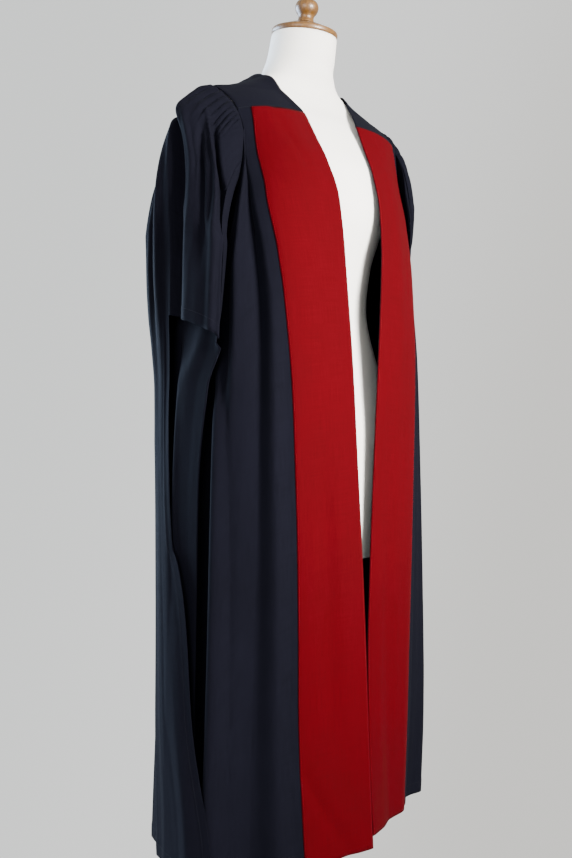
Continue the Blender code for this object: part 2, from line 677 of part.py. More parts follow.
def make_sleeves(collection, black):
    first, last = (FRONT_SEAM - TUCKS_FRONT) / 360, (FRONT_SEAM - TUCKS_BACK) / 360
    front = np.linspace(0, first, SLEEVE_FRONT_COLUMNS + 1)[:-1]
    tucked = np.linspace(first, last, SLEEVE_TUCKS * COLUMNS_PER_TUCK + 1)
    inner = np.concatenate([[0.5], np.linspace(1 - last, 1, SLEEVE_INNER_COLUMNS)])
    u = np.concatenate([front, tucked, inner])
    apex = SLEEVE_TAIL_SHARE / 2
    u[np.argmin(np.abs(u - apex))] = apex
    for side, label in ((RIGHT, "right"), (LEFT, "left")):
        grid = sleeve_grid(side, u)
        keep = np.ones((grid.shape[0] - 1, grid.shape[1] - 1), bool)
        first_below = HEAD_ROWS + SLEEVE_LEVELS.index(SLEEVE_APEX_Z)
        front_lobe = u[1:] <= apex
        keep[first_below:, front_lobe] = False
        cloth_wall(collection, f"sleeve_{label}", grid, CLOTH, black, side, keep)


def form_ring(z, sides):
    """A ring of the form; the top ones lean forward with the neck."""
    turn = np.linspace(0, 2 * np.pi, sides, endpoint=False)
    half, front, back, middle = form_half(np.array(z))
    away = np.where(np.sin(turn) < 0, front, back) * np.sin(turn)
    tilt = math.tan(NECK_LEAN) * ease((z - NECK_BASE_Z) / (FORM["z"][-1] - NECK_BASE_Z))
    return [(half * math.cos(a), middle + d, z + d * tilt) for a, d in zip(turn, away)]


def make_form(collection, white):
    """The smooth torso, a loft of rings closed at the hip and at the top of the neck."""
    heights = np.sort(np.concatenate([FORM["z"], FORM_RINGS_BETWEEN]))
    vertices = [point for z in heights for point in form_ring(z, FORM_SIDES)]
    faces = []
    for i in range(len(heights) - 1):
        for j in range(FORM_SIDES):
            a, b = i * FORM_SIDES + j, i * FORM_SIDES + (j + 1) % FORM_SIDES
            faces.append((a, b, b + FORM_SIDES, a + FORM_SIDES))
    faces.append(tuple(range(FORM_SIDES - 1, -1, -1)))
    last = (len(heights) - 1) * FORM_SIDES
    faces.append(tuple(range(last, last + FORM_SIDES)))
    mesh = bpy.data.meshes.new("form_torso")
    mesh.from_pydata(vertices, [], faces)
    mesh.update()
    item = bpy.data.objects.new("form_torso", mesh)
    collection.objects.link(item)
    mesh.materials.append(white)


def make_cap(collection, wood):
    """The turned neck cap: a disc with a rounded rim and a low dome, and its knob."""
    cap = turned(collection, "neck_cap", CAP_PROFILE, CAP_SIDES, wood)
    cap.location = (0, CAP_Y, CAP_Z + SEAM)
    cap.rotation_euler = (NECK_LEAN, 0, 0)
    knob = turned(collection, "neck_knob", KNOB_PROFILE, KNOB_SIDES, wood)
    rise = CAP_PROFILE[0][1] + SEAM
    forward = math.sin(NECK_LEAN) * rise
    knob.location = (0, CAP_Y - forward, cap.location.z + math.cos(NECK_LEAN) * rise)
    knob.rotation_euler = (NECK_LEAN, 0, 0)


def make_stand(collection, wood):
    """A plain pole and a round flat base, under what the cloth and the form cover."""
    top = FORM["z"][0] - SEAM
    low = BASE_HEIGHT + SEAM
    pole_profile = [(0, top), (POLE_RADIUS, top), (POLE_RADIUS, low + POLE_FLARE[0][1])]
    pole_profile += [(POLE_RADIUS + wider, low + rise) for wider, rise in POLE_FLARE[1:]]
    turned(collection, "stand_pole", pole_profile + [(0, low)], POLE_SIDES, wood)
    base_profile = [(0, BASE_HEIGHT)]
    base_profile += [(BASE_RADIUS - inset, height) for inset, height in BASE_EDGE]
    turned(collection, "stand_base", base_profile + [(0, 0)], BASE_SIDES, wood)


def main():
    clear_scene()
    gown = make_collection("graduation_gown_on_dress_form")
    black = make_material("black cloth", (0.011, 0.012, 0.016), 0.85, sheen=0.25)
    red = make_material("red facing", (0.33, 0.006, 0.012), 0.75, sheen=0.2)
    white = make_material("form cover", (0.80, 0.77, 0.72), 0.9)
    wood = make_material("turned wood", (0.56, 0.33, 0.12), 0.35, coat=0.4)
    make_yoke(gown, black)
    make_back(gown, black)
    make_fronts(gown, black, red)
    make_sleeves(gown, black)
    make_form(gown, white)
    make_cap(gown, wood)
    make_stand(gown, wood)


main()
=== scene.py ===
"""The looks of a graduation gown, open in front, on a limbless dress form with a wooden neck cap.

Every cloth is a thin shell on its solid's form, with its folds placed one by one. Metres, +Z up; the
gown faces -Y, so the wearer's right, the side nearer to the camera, is at -X.
"""

import math

import bpy
import numpy as np
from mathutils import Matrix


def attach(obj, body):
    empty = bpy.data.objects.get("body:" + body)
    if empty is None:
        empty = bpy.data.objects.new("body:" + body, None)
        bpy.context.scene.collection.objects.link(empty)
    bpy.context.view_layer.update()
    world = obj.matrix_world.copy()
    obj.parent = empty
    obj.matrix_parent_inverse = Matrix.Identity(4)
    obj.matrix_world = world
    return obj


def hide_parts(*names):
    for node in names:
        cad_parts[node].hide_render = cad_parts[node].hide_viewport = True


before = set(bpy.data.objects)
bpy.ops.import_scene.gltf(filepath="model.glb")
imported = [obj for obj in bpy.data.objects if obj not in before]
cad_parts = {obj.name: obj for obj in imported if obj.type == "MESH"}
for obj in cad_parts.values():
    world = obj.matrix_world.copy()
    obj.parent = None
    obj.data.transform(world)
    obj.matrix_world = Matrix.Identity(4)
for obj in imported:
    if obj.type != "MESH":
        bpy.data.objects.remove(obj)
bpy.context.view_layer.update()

RIGHT, LEFT = -1, 1
LABEL = {RIGHT: "right", LEFT: "left"}

# The gown's and the form's sizes. Most are the solids' own, and a few are refined for the looks.
CLOTH = 0.0016  # thickness of a solid's wall of cloth
HEAD_SAG = 0.6  # how much more the tucked head falls towards the front
FACING_TOP_SHARE = 0.83  # share of the yoke's front seam that the facing covers
FACING_SHARE = 0.36
SEAM = 0.0005  # gap between sewn pieces
LAP = 0.0006
HEM_Z = 0.300
YOKE_BACK_Z = 1.315
YOKE_BOW = 0.004
YOKE_BACK_BOW = 0.040
YOKE_ARM_SHARE = 0.60
FRONT_TURN = 0.46
BACK_ARM_SHARE = 0.11
SIDE_SEAM_ANGLE = 100.0
BLEND_DROP = 0.20
FRONT_EXPONENT = {-1: 3.2, 1: 2.5}
BACK_FLUTES = 13
CLEARANCE = 0.0007
CLEARANCE_OUT = 0.0020
NECK_LEAN = math.radians(8)
CAP_RADIUS = 0.052
CAP_Z = 1.515
CAP_Y = -0.0035
NECK_BASE_Z = 1.450
POLE_RADIUS = 0.015
BASE_RADIUS = 0.190
BASE_HEIGHT = 0.022

# The looks' own sizes
SHELL = 0.0008  # thickness of the black cloth's shell
RED_SHELL = 0.0007
FACING_STEP = {RIGHT: 0.0045, LEFT: 0.0}  # how far the inner part of a facing's top edge sits lower
HEM_WIDTH = 0.020
HEM_RISE = 0.0005
HEM_EASE = 0.0025  # over which a hem's step falls
NECK_HEM, TAIL_HEM, ARM_HEM = 0.010, 0.013, 0.018  # of the yoke, the tail and the arm opening
SEAM_DIP = 0.0009
SEAM_DIP_WIDTH = 0.004
WELD = 2e5  # points nearer than one over this are one
STITCH_PITCH = 0.0032
STITCH_LENGTH = 0.0023
STITCH_WIDTH = 0.00034
STITCH_INSET = 0.0025  # from a hem's inner edge to its stitches
SLEEVE_INSET = 0.0015
FACING_STITCHES = 0.0022, 0.0018  # from the opening and from the facing's outer edge
YOKE_STITCHES = 0.0055  # from the back seam
FACING_PRESS, FACING_PUFF = 0.0004, 0.0007  # the facing's lift at its edges, and what its middle adds
FACING_GAP = 0.0012  # from the facing's top to the yoke


def table(names, *rows):
    """A table as a dictionary of its named columns, sorted by the first."""
    rows = sorted(rows)
    return {name: np.array(column, float) for name, column in zip(names.split(), zip(*rows))}


# The gown's section at each height
BODY = table(
    "z right_half left_half right_front left_front right_turn left_turn back back_power",
    (1.375, 0.176, 0.176, 0.063, 0.064, 0.00, 0.00, 0.092, 2.4),
    (1.335, 0.178, 0.178, 0.086, 0.082, 0.00, 0.05, 0.108, 2.4),
    (1.290, 0.182, 0.180, 0.110, 0.103, -0.05, 0.10, 0.118, 2.4),
    (1.230, 0.190, 0.188, 0.130, 0.118, -0.11, 0.12, 0.124, 2.4),
    (1.150, 0.198, 0.196, 0.134, 0.122, -0.22, 0.06, 0.127, 2.2),
    (1.000, 0.210, 0.204, 0.142, 0.124, -0.22, 0.00, 0.130, 2.0),
    (0.820, 0.218, 0.209, 0.148, 0.124, -0.11, 0.02, 0.134, 2.0),
    (0.620, 0.224, 0.216, 0.156, 0.124, 0.06, 0.09, 0.139, 2.0),
    (0.460, 0.230, 0.225, 0.162, 0.130, 0.18, 0.26, 0.145, 2.0),
    (0.300, 0.236, 0.233, 0.167, 0.142, 0.13, 0.52, 0.152, 2.0),
)
OPENING = table(
    "z right left",
    (1.375, 0.054, 0.054),
    (1.230, 0.048, 0.056),
    (1.000, 0.036, 0.041),
    (0.710, 0.021, 0.024),
    (0.510, 0.016, 0.017),
    (0.300, 0.013, 0.015),
)
# How wide the facing lies, by height
FACING_LAY = table(
    "z width",
    (1.100, 0.115),
    (1.160, 0.118),
    (1.230, 0.126),
    (1.290, 0.131),
    (1.340, 0.124),
    (1.372, 0.119),
)
ARMHOLE = table(
    "angle x y z",
    (-70, 0.166, 0.075, YOKE_BACK_Z),
    (-35, 0.168, 0.052, 1.3720),
    (0, 0.172, 0.008, 1.4015),
    (36, 0.163, -0.043, 1.3600),
    (70, 0.165, -0.063, 1.3150),
    (105, 0.172, -0.066, 1.2620),
    (140, 0.182, -0.042, 1.2140),
    (180, 0.190, 0.010, 1.1940),
    (220, 0.186, 0.050, 1.2250),
    (260, 0.174, 0.070, 1.2770),
    (290, 0.166, 0.075, YOKE_BACK_Z),
)
FRONT_CORNER = 36
UNDERARM = 180
BACK_CORNER = -70
FRONT_SEAM = 95
NECK_EDGE = table(
    "share x y z",
    (0.00, 0.0540, -0.0625, 1.3720),
    (0.20, 0.0690, -0.0290, 1.4090),
    (0.40, 0.0780, 0.0100, 1.4420),
    (0.65, 0.0640, 0.0520, 1.4510),
    (0.85, 0.0300, 0.0770, 1.4560),
    (1.00, 0.0000, 0.0830, 1.4550),
)
FLUTES = table(
    "z depth",
    (1.315, 0.0025),
    (1.230, 0.0060),
    (1.000, 0.0085),
    (0.620, 0.0110),
    (0.300, 0.0130),
)
SLEEVE = table(
    "z seam tail inner rear front lobe valley puff back under",
    (1.150, 71, 95, 71, 127, 0.032, 0.044, 0.038, 0.058, 0.036, 0.0075),
    (1.080, 71, 96, 71, 127, 0.031, 0.042, 0.034, 0.053, 0.033, 0.0110),
    (1.020, 71, 97, 73, 127, 0.030, 0.039, 0.028, 0.045, 0.030, 0.0140),
    (0.960, 70, 98, 80, 127, 0.030, 0.034, 0.024, 0.038, 0.028, 0.0140),
    (0.820, 70, 94.5, 83, 127, 0.028, 0.030, 0.023, 0.033, 0.025, 0.0130),
    (0.650, 66, 85.5, 82, 127, 0.026, 0.028, 0.022, 0.031, 0.025, 0.0120),
    (0.500, 60, 78, 80, 127, 0.026, 0.027, 0.024, 0.030, 0.025, 0.0120),
    (0.350, 54, 66.5, 77, 127, 0.030, 0.030, 0.028, 0.030, 0.025, 0.0120),
    (0.290, 53, 64, 76, 127, 0.030, 0.030, 0.029, 0.030, 0.025, 0.0120),
)
SLEEVE_LOOP = (0.0, 0.20, 0.42, 0.70, 1.0)
SLEEVE_TAIL_SHARE = 0.42
SLEEVE_LIP_Z = 1.021
SLEEVE_APEX_Z = 1.064
SLEEVE_TOP_LEVELS = (1.15, 1.105, 1.064)
SLEEVE_BOTTOM_Z = 0.29
LOW_ROW_HEIGHTS = (1.064, 1.02, 0.96, 0.88, 0.78, 0.65, 0.50, 0.38, 0.29)  # of rows 8 to 16
SLEEVE_FULLNESS = {RIGHT: 1.0, LEFT: 0.48}
SLEEVE_TURN = {RIGHT: 0.0, LEFT: 20.0}
HEAD = table(
    "row out drop share",
    (1, 0.026, 0.010, 0.08),
    (2, 0.050, 0.022, 0.20),
    (3, 0.068, 0.040, 0.36),
    (4, 0.073, 0.072, 0.58),
)
HEAD_SIZE = {RIGHT: 1.0, LEFT: 0.52}
PUFF = 0.004
UNDERARM_EASE = 0.008
SLEEVE_MIDDLE_Y = 0.005
TUCKS = 22  # pleats over the shoulder, on each sleeve
TUCKS_FRONT, TUCKS_BACK = 56, -76  # degrees round the armhole between which they lie
TUCK_DEPTH = 0.0064
TUCK_LEAN = 0.038  # by how much of their whole span the pleats shift to the front with each row

FORM = table(
    "z half front back middle",
    (0.7030, 0.1560, 0.1000, 0.1020, 0.000),
    (0.7150, 0.1620, 0.1055, 0.1090, 0.000),
    (0.7600, 0.1660, 0.1090, 0.1150, 0.000),
    (0.8800, 0.1680, 0.1070, 0.1220, 0.000),
    (0.9800, 0.1450, 0.0950, 0.1060, 0.000),
    (1.0900, 0.1150, 0.0820, 0.0800, 0.000),
    (1.1500, 0.1200, 0.0900, 0.0840, 0.000),
    (1.2300, 0.1460, 0.1100, 0.0960, 0.000),
    (1.2900, 0.1640, 0.0990, 0.1000, 0.000),
    (1.3400, 0.1740, 0.0760, 0.0940, 0.002),
    (1.3750, 0.1750, 0.0560, 0.0810, 0.004),
    (1.3880, 0.1700, 0.0480, 0.0720, 0.006),
    (1.3990, 0.1600, 0.0430, 0.0650, 0.008),
    (1.4200, 0.1110, 0.0400, 0.0580, 0.011),
    (1.4400, 0.0735, 0.0480, 0.0580, 0.014),
    (1.4550, 0.0600, 0.0560, 0.0570, 0.014),
    (1.4800, 0.0540, 0.0540, 0.0540, 0.005),
    (CAP_Z, 0.0516, 0.0516, 0.0516, CAP_Y),
)


def folds(*rows):
    """One fold a row: its crest, then knots of place along the cloth, place across, half width, depth in mm.

    The crest is 0 for a round fold and 1 for a sharp one. A depth below 0 is a hollow.
    """
    return [(crest, *np.array(knots, float).T * np.array([[1], [1], [1], [0.001]])) for crest, *knots in rows]


# Folds of the fronts, by share of the way down and share of the cloth past the facing
FRONT_FOLDS = {
    RIGHT: folds(
        # the flat strip beside the facing, and the dark valley behind it
        (0.2833, (0.02, 0.17, 0.06, 0), (0.1, 0.19, 0.08, -9), (0.25, 0.2, 0.11, -15),
         (0.38, 0.23, 0.12, -9), (0.6, 0.27, 0.14, -6), (1, 0.33, 0.15, -8)),
        # the ridge on its far side
        (0.25, (0.03, 0.3, 0.05, 0), (0.1, 0.33, 0.07, 7), (0.25, 0.37, 0.09, 10),
         (0.42, 0.44, 0.12, 6), (0.6, 0.47, 0.13, 5), (1, 0.52, 0.15, 9)),
        # a second valley, under the edge of the sleeve
        (0.325, (0.03, 0.46, 0.05, 0), (0.12, 0.47, 0.06, -6), (0.28, 0.49, 0.06, -7),
         (0.36, 0.5, 0.06, 0)),
        # the broad ridge beside the facing from the waist down
        (0.125, (0.24, 0.06, 0.08, 0), (0.4, 0.13, 0.1, 6), (0.6, 0.15, 0.11, 9), (1, 0.17, 0.12, 8)),
        # the crest of the side fold, and the deep valley behind it
        (0.225, (0.28, 0.53, 0.06, 0), (0.38, 0.53, 0.09, 13), (0.6, 0.535, 0.1, 17),
         (1, 0.56, 0.11, 19)),
        (0.05, (0.2, 0.7, 0.07, 0), (0.34, 0.68, 0.12, -24), (0.6, 0.685, 0.13, -38),
         (1, 0.715, 0.14, -36)),
        # puckers that run down from the armhole
        (0.3, (0, 0.6, 0.03, 0), (0.06, 0.6, 0.04, 3), (0.2, 0.59, 0.04, 0)),
        (0, (0.45, 0.88, 0.07, 0), (1, 0.9, 0.08, 7)),
    ),
    LEFT: folds(
        (0.225, (0.02, 0.14, 0.06, 0), (0.12, 0.15, 0.08, -4), (0.45, 0.18, 0.11, -5),
         (1, 0.24, 0.14, -7)),
        (0.175, (0.05, 0.34, 0.07, 0), (0.22, 0.37, 0.09, 5), (0.6, 0.43, 0.12, 8),
         (1, 0.47, 0.14, 13)),
        (0.2, (0.08, 0.58, 0.06, 0), (0.3, 0.61, 0.08, -6), (1, 0.71, 0.12, -11)),
        (0, (0.3, 0.86, 0.07, 0), (1, 0.91, 0.08, 8)),
    ),
}

# Slight hollows and ridges of the facings, by share down and share across from the open edge
FACING_FOLDS = {
    RIGHT: folds(
        (0.55, (0, 0.6, 0.1, 0), (0.02, 0.6, 0.1, -3), (0.06, 0.48, 0.1, -2), (0.1, 0.38, 0.1, 0)),
        (0.05, (0.45, 0.55, 0.18, 0), (0.58, 0.56, 0.22, -6), (0.74, 0.55, 0.24, -5),
         (0.88, 0.52, 0.24, 0)),
        (0.3, (0.86, 1, 0.16, 0), (0.9, 0.88, 0.17, -3), (0.95, 0.62, 0.19, -3.4), (1, 0.34, 0.22, -2)),
        (0, (0.14, 0.75, 0.25, 0), (0.3, 0.72, 0.28, 2), (0.5, 0.8, 0.28, 0)),
    ),
    LEFT: folds(
        (0, (0.04, 0.45, 0.2, 0), (0.16, 0.42, 0.22, 2.2), (0.4, 0.55, 0.25, 0)),
        (0.05, (0.36, 0.3, 0.2, 0), (0.55, 0.36, 0.24, -3), (0.8, 0.46, 0.26, -3.4),
         (1, 0.56, 0.26, -4.5)),
        (0, (0.5, 0.85, 0.2, 0), (1, 0.95, 0.24, 4)),
    ),
}

# Folds of the sleeves' outer layer, by row from the armhole and share round the sleeve. Row 6 is at
# 1.15 m, row 8 at the top of the arm opening and row 16 at the tail's hem.
SLEEVE_FOLDS = {
    RIGHT: folds(
        # the deep fold between the front of the sleeve and its tail
        (0.2857, (1.6, 0.292, 0.02, 0), (2.6, 0.284, 0.026, -8), (3.3, 0.268, 0.032, -14),
         (4, 0.24, 0.036, -19), (5, 0.2, 0.038, -23), (6, 0.18, 0.038, -24), (8, 0.168, 0.036, -22)),
        # the soft trough down the front
        (0.25, (2.2, 0.178, 0.018, 0), (3, 0.157, 0.028, -7), (4, 0.124, 0.036, -10),
         (5, 0.09, 0.04, -10), (6, 0.078, 0.042, -6), (7, 0.074, 0.044, 0)),
        # the ridge between them
        (0.275, (2.4, 0.235, 0.02, 0), (3.4, 0.208, 0.022, 4), (5, 0.148, 0.024, 4),
         (8, 0.122, 0.03, 3)),
        # the front edge's roll, and the hollow between it and the front seam
        (0.3143, (1.6, 0.2, 0.014, 0), (2, 0.174, 0.017, 4), (2.5, 0.122, 0.021, 7),
         (3, 0.07, 0.024, 9), (3.7, 0.04, 0.025, 9), (5, 0.03, 0.027, 8), (8, 0.028, 0.03, 6)),
        (0.175, (0.9, 0.15, 0.022, 0), (1.5, 0.156, 0.028, -4), (2, 0.132, 0.036, -8),
         (2.5, 0.078, 0.04, -12), (3, 0.024, 0.042, -13), (3.7, 0.004, 0.034, -11),
         (4.8, -0.01, 0.032, -8), (6.5, -0.02, 0.032, 0)),
        # behind the shoulder the tucked head falls in, then swells out over the tail
        (0, (0.5, 0.345, 0.09, 0), (1.2, 0.345, 0.12, -10), (2, 0.345, 0.13, -22),
         (3.1, 0.35, 0.13, -27), (4.2, 0.36, 0.12, -12), (5.4, 0.372, 0.11, 0)),
        (0, (11, 0.39, 0.12, 0), (13, 0.39, 0.13, -6), (14.5, 0.39, 0.13, -11), (16, 0.39, 0.13, -16)),
        (0.16, (3.8, 0.3, 0.022, 0), (4.8, 0.288, 0.026, 6), (6.5, 0.276, 0.032, 6),
         (9, 0.268, 0.034, 3), (12, 0.27, 0.034, 0)),
        (0.22, (3, 0.33, 0.018, 0), (4.4, 0.326, 0.022, -8), (6, 0.318, 0.026, -8),
         (9, 0.312, 0.03, -3), (13, 0.31, 0.03, 0)),
        (0.16, (3.2, 0.405, 0.02, 0), (4.6, 0.4, 0.026, 6), (7, 0.392, 0.03, 5), (12, 0.385, 0.034, 3),
         (16, 0.38, 0.036, 4)),
        (0.175, (3, 0.455, 0.018, 0), (4.8, 0.448, 0.022, -6), (8, 0.44, 0.026, -4),
         (16, 0.432, 0.03, -4)),
        (0, (11, 0.245, 0.03, 0), (16, 0.262, 0.036, 6)),
    ),
    LEFT: folds(
        (0.32, (1.8, 0.228, 0.02, 0), (3, 0.222, 0.022, -5), (4.6, 0.208, 0.026, -9),
         (6, 0.196, 0.028, -10), (8, 0.192, 0.028, -8)),
        (0.25, (2.2, 0.15, 0.018, 0), (3.2, 0.138, 0.026, -4), (5, 0.11, 0.036, -6),
         (7.6, 0.098, 0.04, -3)),
        (0.175, (2.6, 0.285, 0.02, 0), (4.4, 0.284, 0.026, 4), (8, 0.276, 0.032, 4),
         (14, 0.27, 0.034, 0)),
        (0.175, (2.8, 0.345, 0.02, 0), (4.6, 0.338, 0.026, -5), (8, 0.33, 0.03, -5),
         (16, 0.322, 0.034, -3)),
        (0.1667, (3.2, 0.41, 0.02, 0), (5, 0.404, 0.026, 4), (16, 0.392, 0.032, 5)),
    ),
}

# Folds of the sleeves' inner layer, under the tail
INNER_FOLDS = folds(
    (0.05, (8, 0.89, 0.04, 0), (9.5, 0.89, 0.055, 6), (13, 0.89, 0.06, 7), (16, 0.89, 0.06, 4)),
    (0.05, (8, 0.77, 0.05, 0), (9.5, 0.77, 0.075, -8), (13, 0.77, 0.075, -8), (16, 0.77, 0.07, -4)),
)


def smooth(xs, ys, x):
    """A curve through the points that never overshoots them. xs rise."""
    x = np.clip(x, xs[0], xs[-1])
    step = np.diff(xs)
    slope = np.diff(ys) / step
    same_way = slope[1:] * slope[:-1] > 0
    total = np.where(same_way, slope[1:] + slope[:-1], 1.0)
    inner = np.where(same_way, 2 * slope[1:] * slope[:-1] / total, 0.0)
    tangent = np.concatenate([[slope[0]], inner, [slope[-1]]])
    i = np.clip(np.searchsorted(xs, x, side="right") - 1, 0, len(step) - 1)
    t = (x - xs[i]) / step[i]
    from_start = (1 + 2 * t) * (1 - t) ** 2 * ys[i] + t * (1 - t) ** 2 * step[i] * tangent[i]
    from_end = t * t * (3 - 2 * t) * ys[i + 1] + t * t * (t - 1) * step[i] * tangent[i + 1]
    return from_start + from_end


def column(values, name, x):
    """A named column of a table at x, where x is the table's first column."""
    first = next(iter(values))
    return smooth(values[first], values[name], np.asarray(x, float))


def ease(t):
    """0 to 1, with level ends."""
    t = np.clip(t, 0, 1)
    return t * t * (3 - 2 * t)


def fold_field(table_of_folds, along, across):
    """The height of the folds over the plain cloth."""
    height = np.zeros(np.broadcast(along, across).shape)
    for crest, place, centre, half, depth in table_of_folds:
        away = np.clip(np.abs(across - smooth(place, centre, along)) / smooth(place, half, along), 0, 1)
        section = (1 - ease(away)) * (1 - crest) + (1 - away) ** 1.7 * crest
        height = height + section * smooth(place, depth, along) * (along >= place[0])
    return height


def ripple(u, v, seed, fine=1.0):
    """A slight unevenness, between about -1 and 1, longer down the cloth than across it."""
    turn = np.random.default_rng(seed).uniform(0, 2 * np.pi, 8)
    waves = (
        (9.0, 1.3, 0.30),
        (15.0, 2.1, 0.22),
        (23.0, -3.2, 0.16),
        (37.0, 4.6, 0.12),
        (58.0, -7.9, 0.08),
        (12.0, 9.0, 0.12),
    )
    total = 0
    for (a, b, size), shift in zip(waves, turn):
        total = total + size * np.sin(a * fine * u + b * v + shift)
    return total


def of_side(side, name):
    return ("right_" if side == RIGHT else "left_") + name


def body_point(side, z, angle, out=0.0):
    """A point of the body's section, angle degrees round it from the front, moved out."""
    half = column(BODY, of_side(side, "half"), z)
    front = column(BODY, of_side(side, "front"), z)
    back = column(BODY, "back", z)
    sine = np.clip(np.sin(np.radians(angle)), 0, 1)
    cosine = np.cos(np.radians(angle))
    ahead = cosine > 0
    power = 2 / np.where(ahead, FRONT_EXPONENT[side], column(BODY, "back_power", z))
    x = half * sine**power
    front = front * (1 - column(BODY, of_side(side, "turn"), z) * x / half)
    y = np.where(ahead, -front, back) * np.abs(cosine) ** power
    depth = np.where(ahead, front, back)
    nx = (np.abs(x) / half) ** (2 / power - 1) / half
    ny = np.sign(y) * (np.abs(y) / depth) ** (2 / power - 1) / depth
    length = np.hypot(nx, ny)
    return np.stack([side * (x + out * nx / length), y + out * ny / length, z + 0 * x], -1)


def opening_angle(side, z):
    away = column(OPENING, "right" if side == RIGHT else "left", z)
    half = column(BODY, of_side(side, "half"), z)
    return np.degrees(np.arcsin((away / half) ** (FRONT_EXPONENT[side] / 2)))


def angle_at(side, z, across):
    """The angle at a share of the front's cloth: the facing's part is as wide as FACING_LAY says."""
    heights = np.linspace(HEM_Z, 1.40, 90)
    steps = np.linspace(0, 1, 161)
    start = opening_angle(side, heights)
    angles = start[:, None] + (SIDE_SEAM_ANGLE - start[:, None]) * steps
    points = body_point(side, heights[:, None], angles)
    run = np.linalg.norm(np.diff(points, axis=-2), axis=-1)
    along = np.concatenate([np.zeros((len(heights), 1)), np.cumsum(run, axis=-1)], -1)
    shares = np.linspace(0, 1, 201)
    past = (shares - FACING_SHARE) / (1 - FACING_SHARE)
    grid = []
    for a, g, width in zip(along, angles, column(FACING_LAY, "width", heights)):
        beyond = width + past * (a[-1] - width)
        wanted = np.where(shares <= FACING_SHARE, shares / FACING_SHARE * width, beyond)
        grid.append(np.interp(wanted, a, g))
    grid = np.array(grid)
    i = np.clip((z - heights[0]) / (heights[1] - heights[0]), 0, len(heights) - 1.0001)
    j = np.clip(across * (len(shares) - 1), 0, len(shares) - 1.0001)
    i0, j0 = i.astype(int), j.astype(int)
    fi, fj = i - i0, j - j0
    low = grid[i0, j0] * (1 - fj) + grid[i0, j0 + 1] * fj
    high = grid[i0 + 1, j0] * (1 - fj) + grid[i0 + 1, j0 + 1] * fj
    return low * (1 - fi) + high * fi


def armhole_point(side, angle):
    """A point of the armhole, degrees round it from the shoulder point towards the front."""
    angle = (np.asarray(angle, float) - BACK_CORNER) % 360 + BACK_CORNER
    return np.stack([column(ARMHOLE, name, angle) for name in "xyz"], -1) * (side, 1, 1)


def front_top(side, across):
    corner = armhole_point(side, FRONT_CORNER)
    inner = np.array([side * NECK_EDGE["x"][0], NECK_EDGE["y"][0], NECK_EDGE["z"][0]])
    share = np.interp(across, [0, FACING_SHARE, FRONT_TURN], [0, FACING_TOP_SHARE, 1])[..., None]
    bow = np.array([0, -0.010, 0.002]) * np.sin(np.pi * share)
    seam = inner + (corner - inner) * share + bow
    down = np.clip((across - FRONT_TURN) / (1 - FRONT_TURN), 0, 1)
    arm = armhole_point(side, FRONT_CORNER + (UNDERARM - FRONT_CORNER) * down)
    return np.where((across <= FRONT_TURN)[..., None], seam, arm)


def front_point(side, across, down):
    """A point of the front panel with its folds; across and down are shares of it."""
    top = front_top(side, across)
    z = top[..., 2] + (HEM_Z - top[..., 2]) * down
    angle = angle_at(side, z, across)
    plain = body_point(side, z, angle)
    at_top = body_point(side, top[..., 2], angle_at(side, top[..., 2], across))
    pull = 1 - ease((top[..., 2] - z) / BLEND_DROP)[..., None]
    point = plain + (top - at_top) * pull
    point[..., 2] = z
    past = (across - FACING_SHARE) / (1 - FACING_SHARE)
    height = fold_field(FRONT_FOLDS[side], down, past)
    height = height * np.where(past < 0, ease(1 + past / 0.10), 1)
    height = height + fold_field(FACING_FOLDS[side], down, across / FACING_SHARE)
    height = height + 0.0007 * ripple(across, down, 11 + side) * ease(down / 0.1)
    height = height * ease(down / 0.07) * ease((1 - past) / 0.12)
    outward = body_point(side, z, angle, 1.0) - plain
    return point + outward * height[..., None]


def back_top(share):
    arm = BACK_ARM_SHARE
    climb = 360 + BACK_CORNER - UNDERARM
    right = armhole_point(RIGHT, UNDERARM + climb * np.clip(share / arm, 0, 1))
    left = armhole_point(LEFT, UNDERARM + climb * np.clip((1 - share) / arm, 0, 1))
    middle = np.clip((share - arm) / (1 - 2 * arm), 0, 1)
    corner = armhole_point(LEFT, BACK_CORNER)
    x = -corner[0] + 2 * corner[0] * middle
    y = corner[1] + YOKE_BACK_BOW * np.sin(np.pi * middle) ** 0.7
    seam = np.stack([x, y, YOKE_BACK_Z + 0 * x], -1)
    outer = np.where((share < arm)[..., None], right, left)
    return np.where(((share >= arm) & (share <= 1 - arm))[..., None], seam, outer)


def back_plain(share, z):
    to_middle = np.minimum(share, 1 - share) * 2
    angle = SIDE_SEAM_ANGLE + (180 - SIDE_SEAM_ANGLE) * to_middle
    right = body_point(RIGHT, z, angle)
    left = body_point(LEFT, z, angle)
    return np.where((share < 0.5)[..., None], right, left)


def flute_depth(share, z):
    """The back's flutes, uneven in width and depth, with fine gathers just under the yoke."""
    middle = (share - BACK_ARM_SHARE) / (1 - 2 * BACK_ARM_SHARE)
    phase = BACK_FLUTES * middle + 0.22 * np.sin(5.1 * middle + 0.6) + 0.13 * np.sin(13.7 * middle)
    phase = phase + 0.10 * np.sin(3.0 * z * np.pi + 4.0 * middle)
    uneven = 1 + 0.28 * np.sin(9.3 * middle + 1.0) + 0.16 * np.sin(27.0 * middle + 5.0 * z)
    edge = ease((share - 0.13) / 0.14) * ease((0.87 - share) / 0.14)
    wave = -np.cos(2 * np.pi * phase)
    wave = np.sign(wave) * np.abs(wave) ** 0.85
    flutes = wave * column(FLUTES, "depth", z) * uneven * edge
    gathers = -np.cos(6 * np.pi * phase + 0.8) * ease((z - 1.18) / 0.10) * ease((1.3145 - z) / 0.012)
    return flutes + 0.0016 * gathers * edge


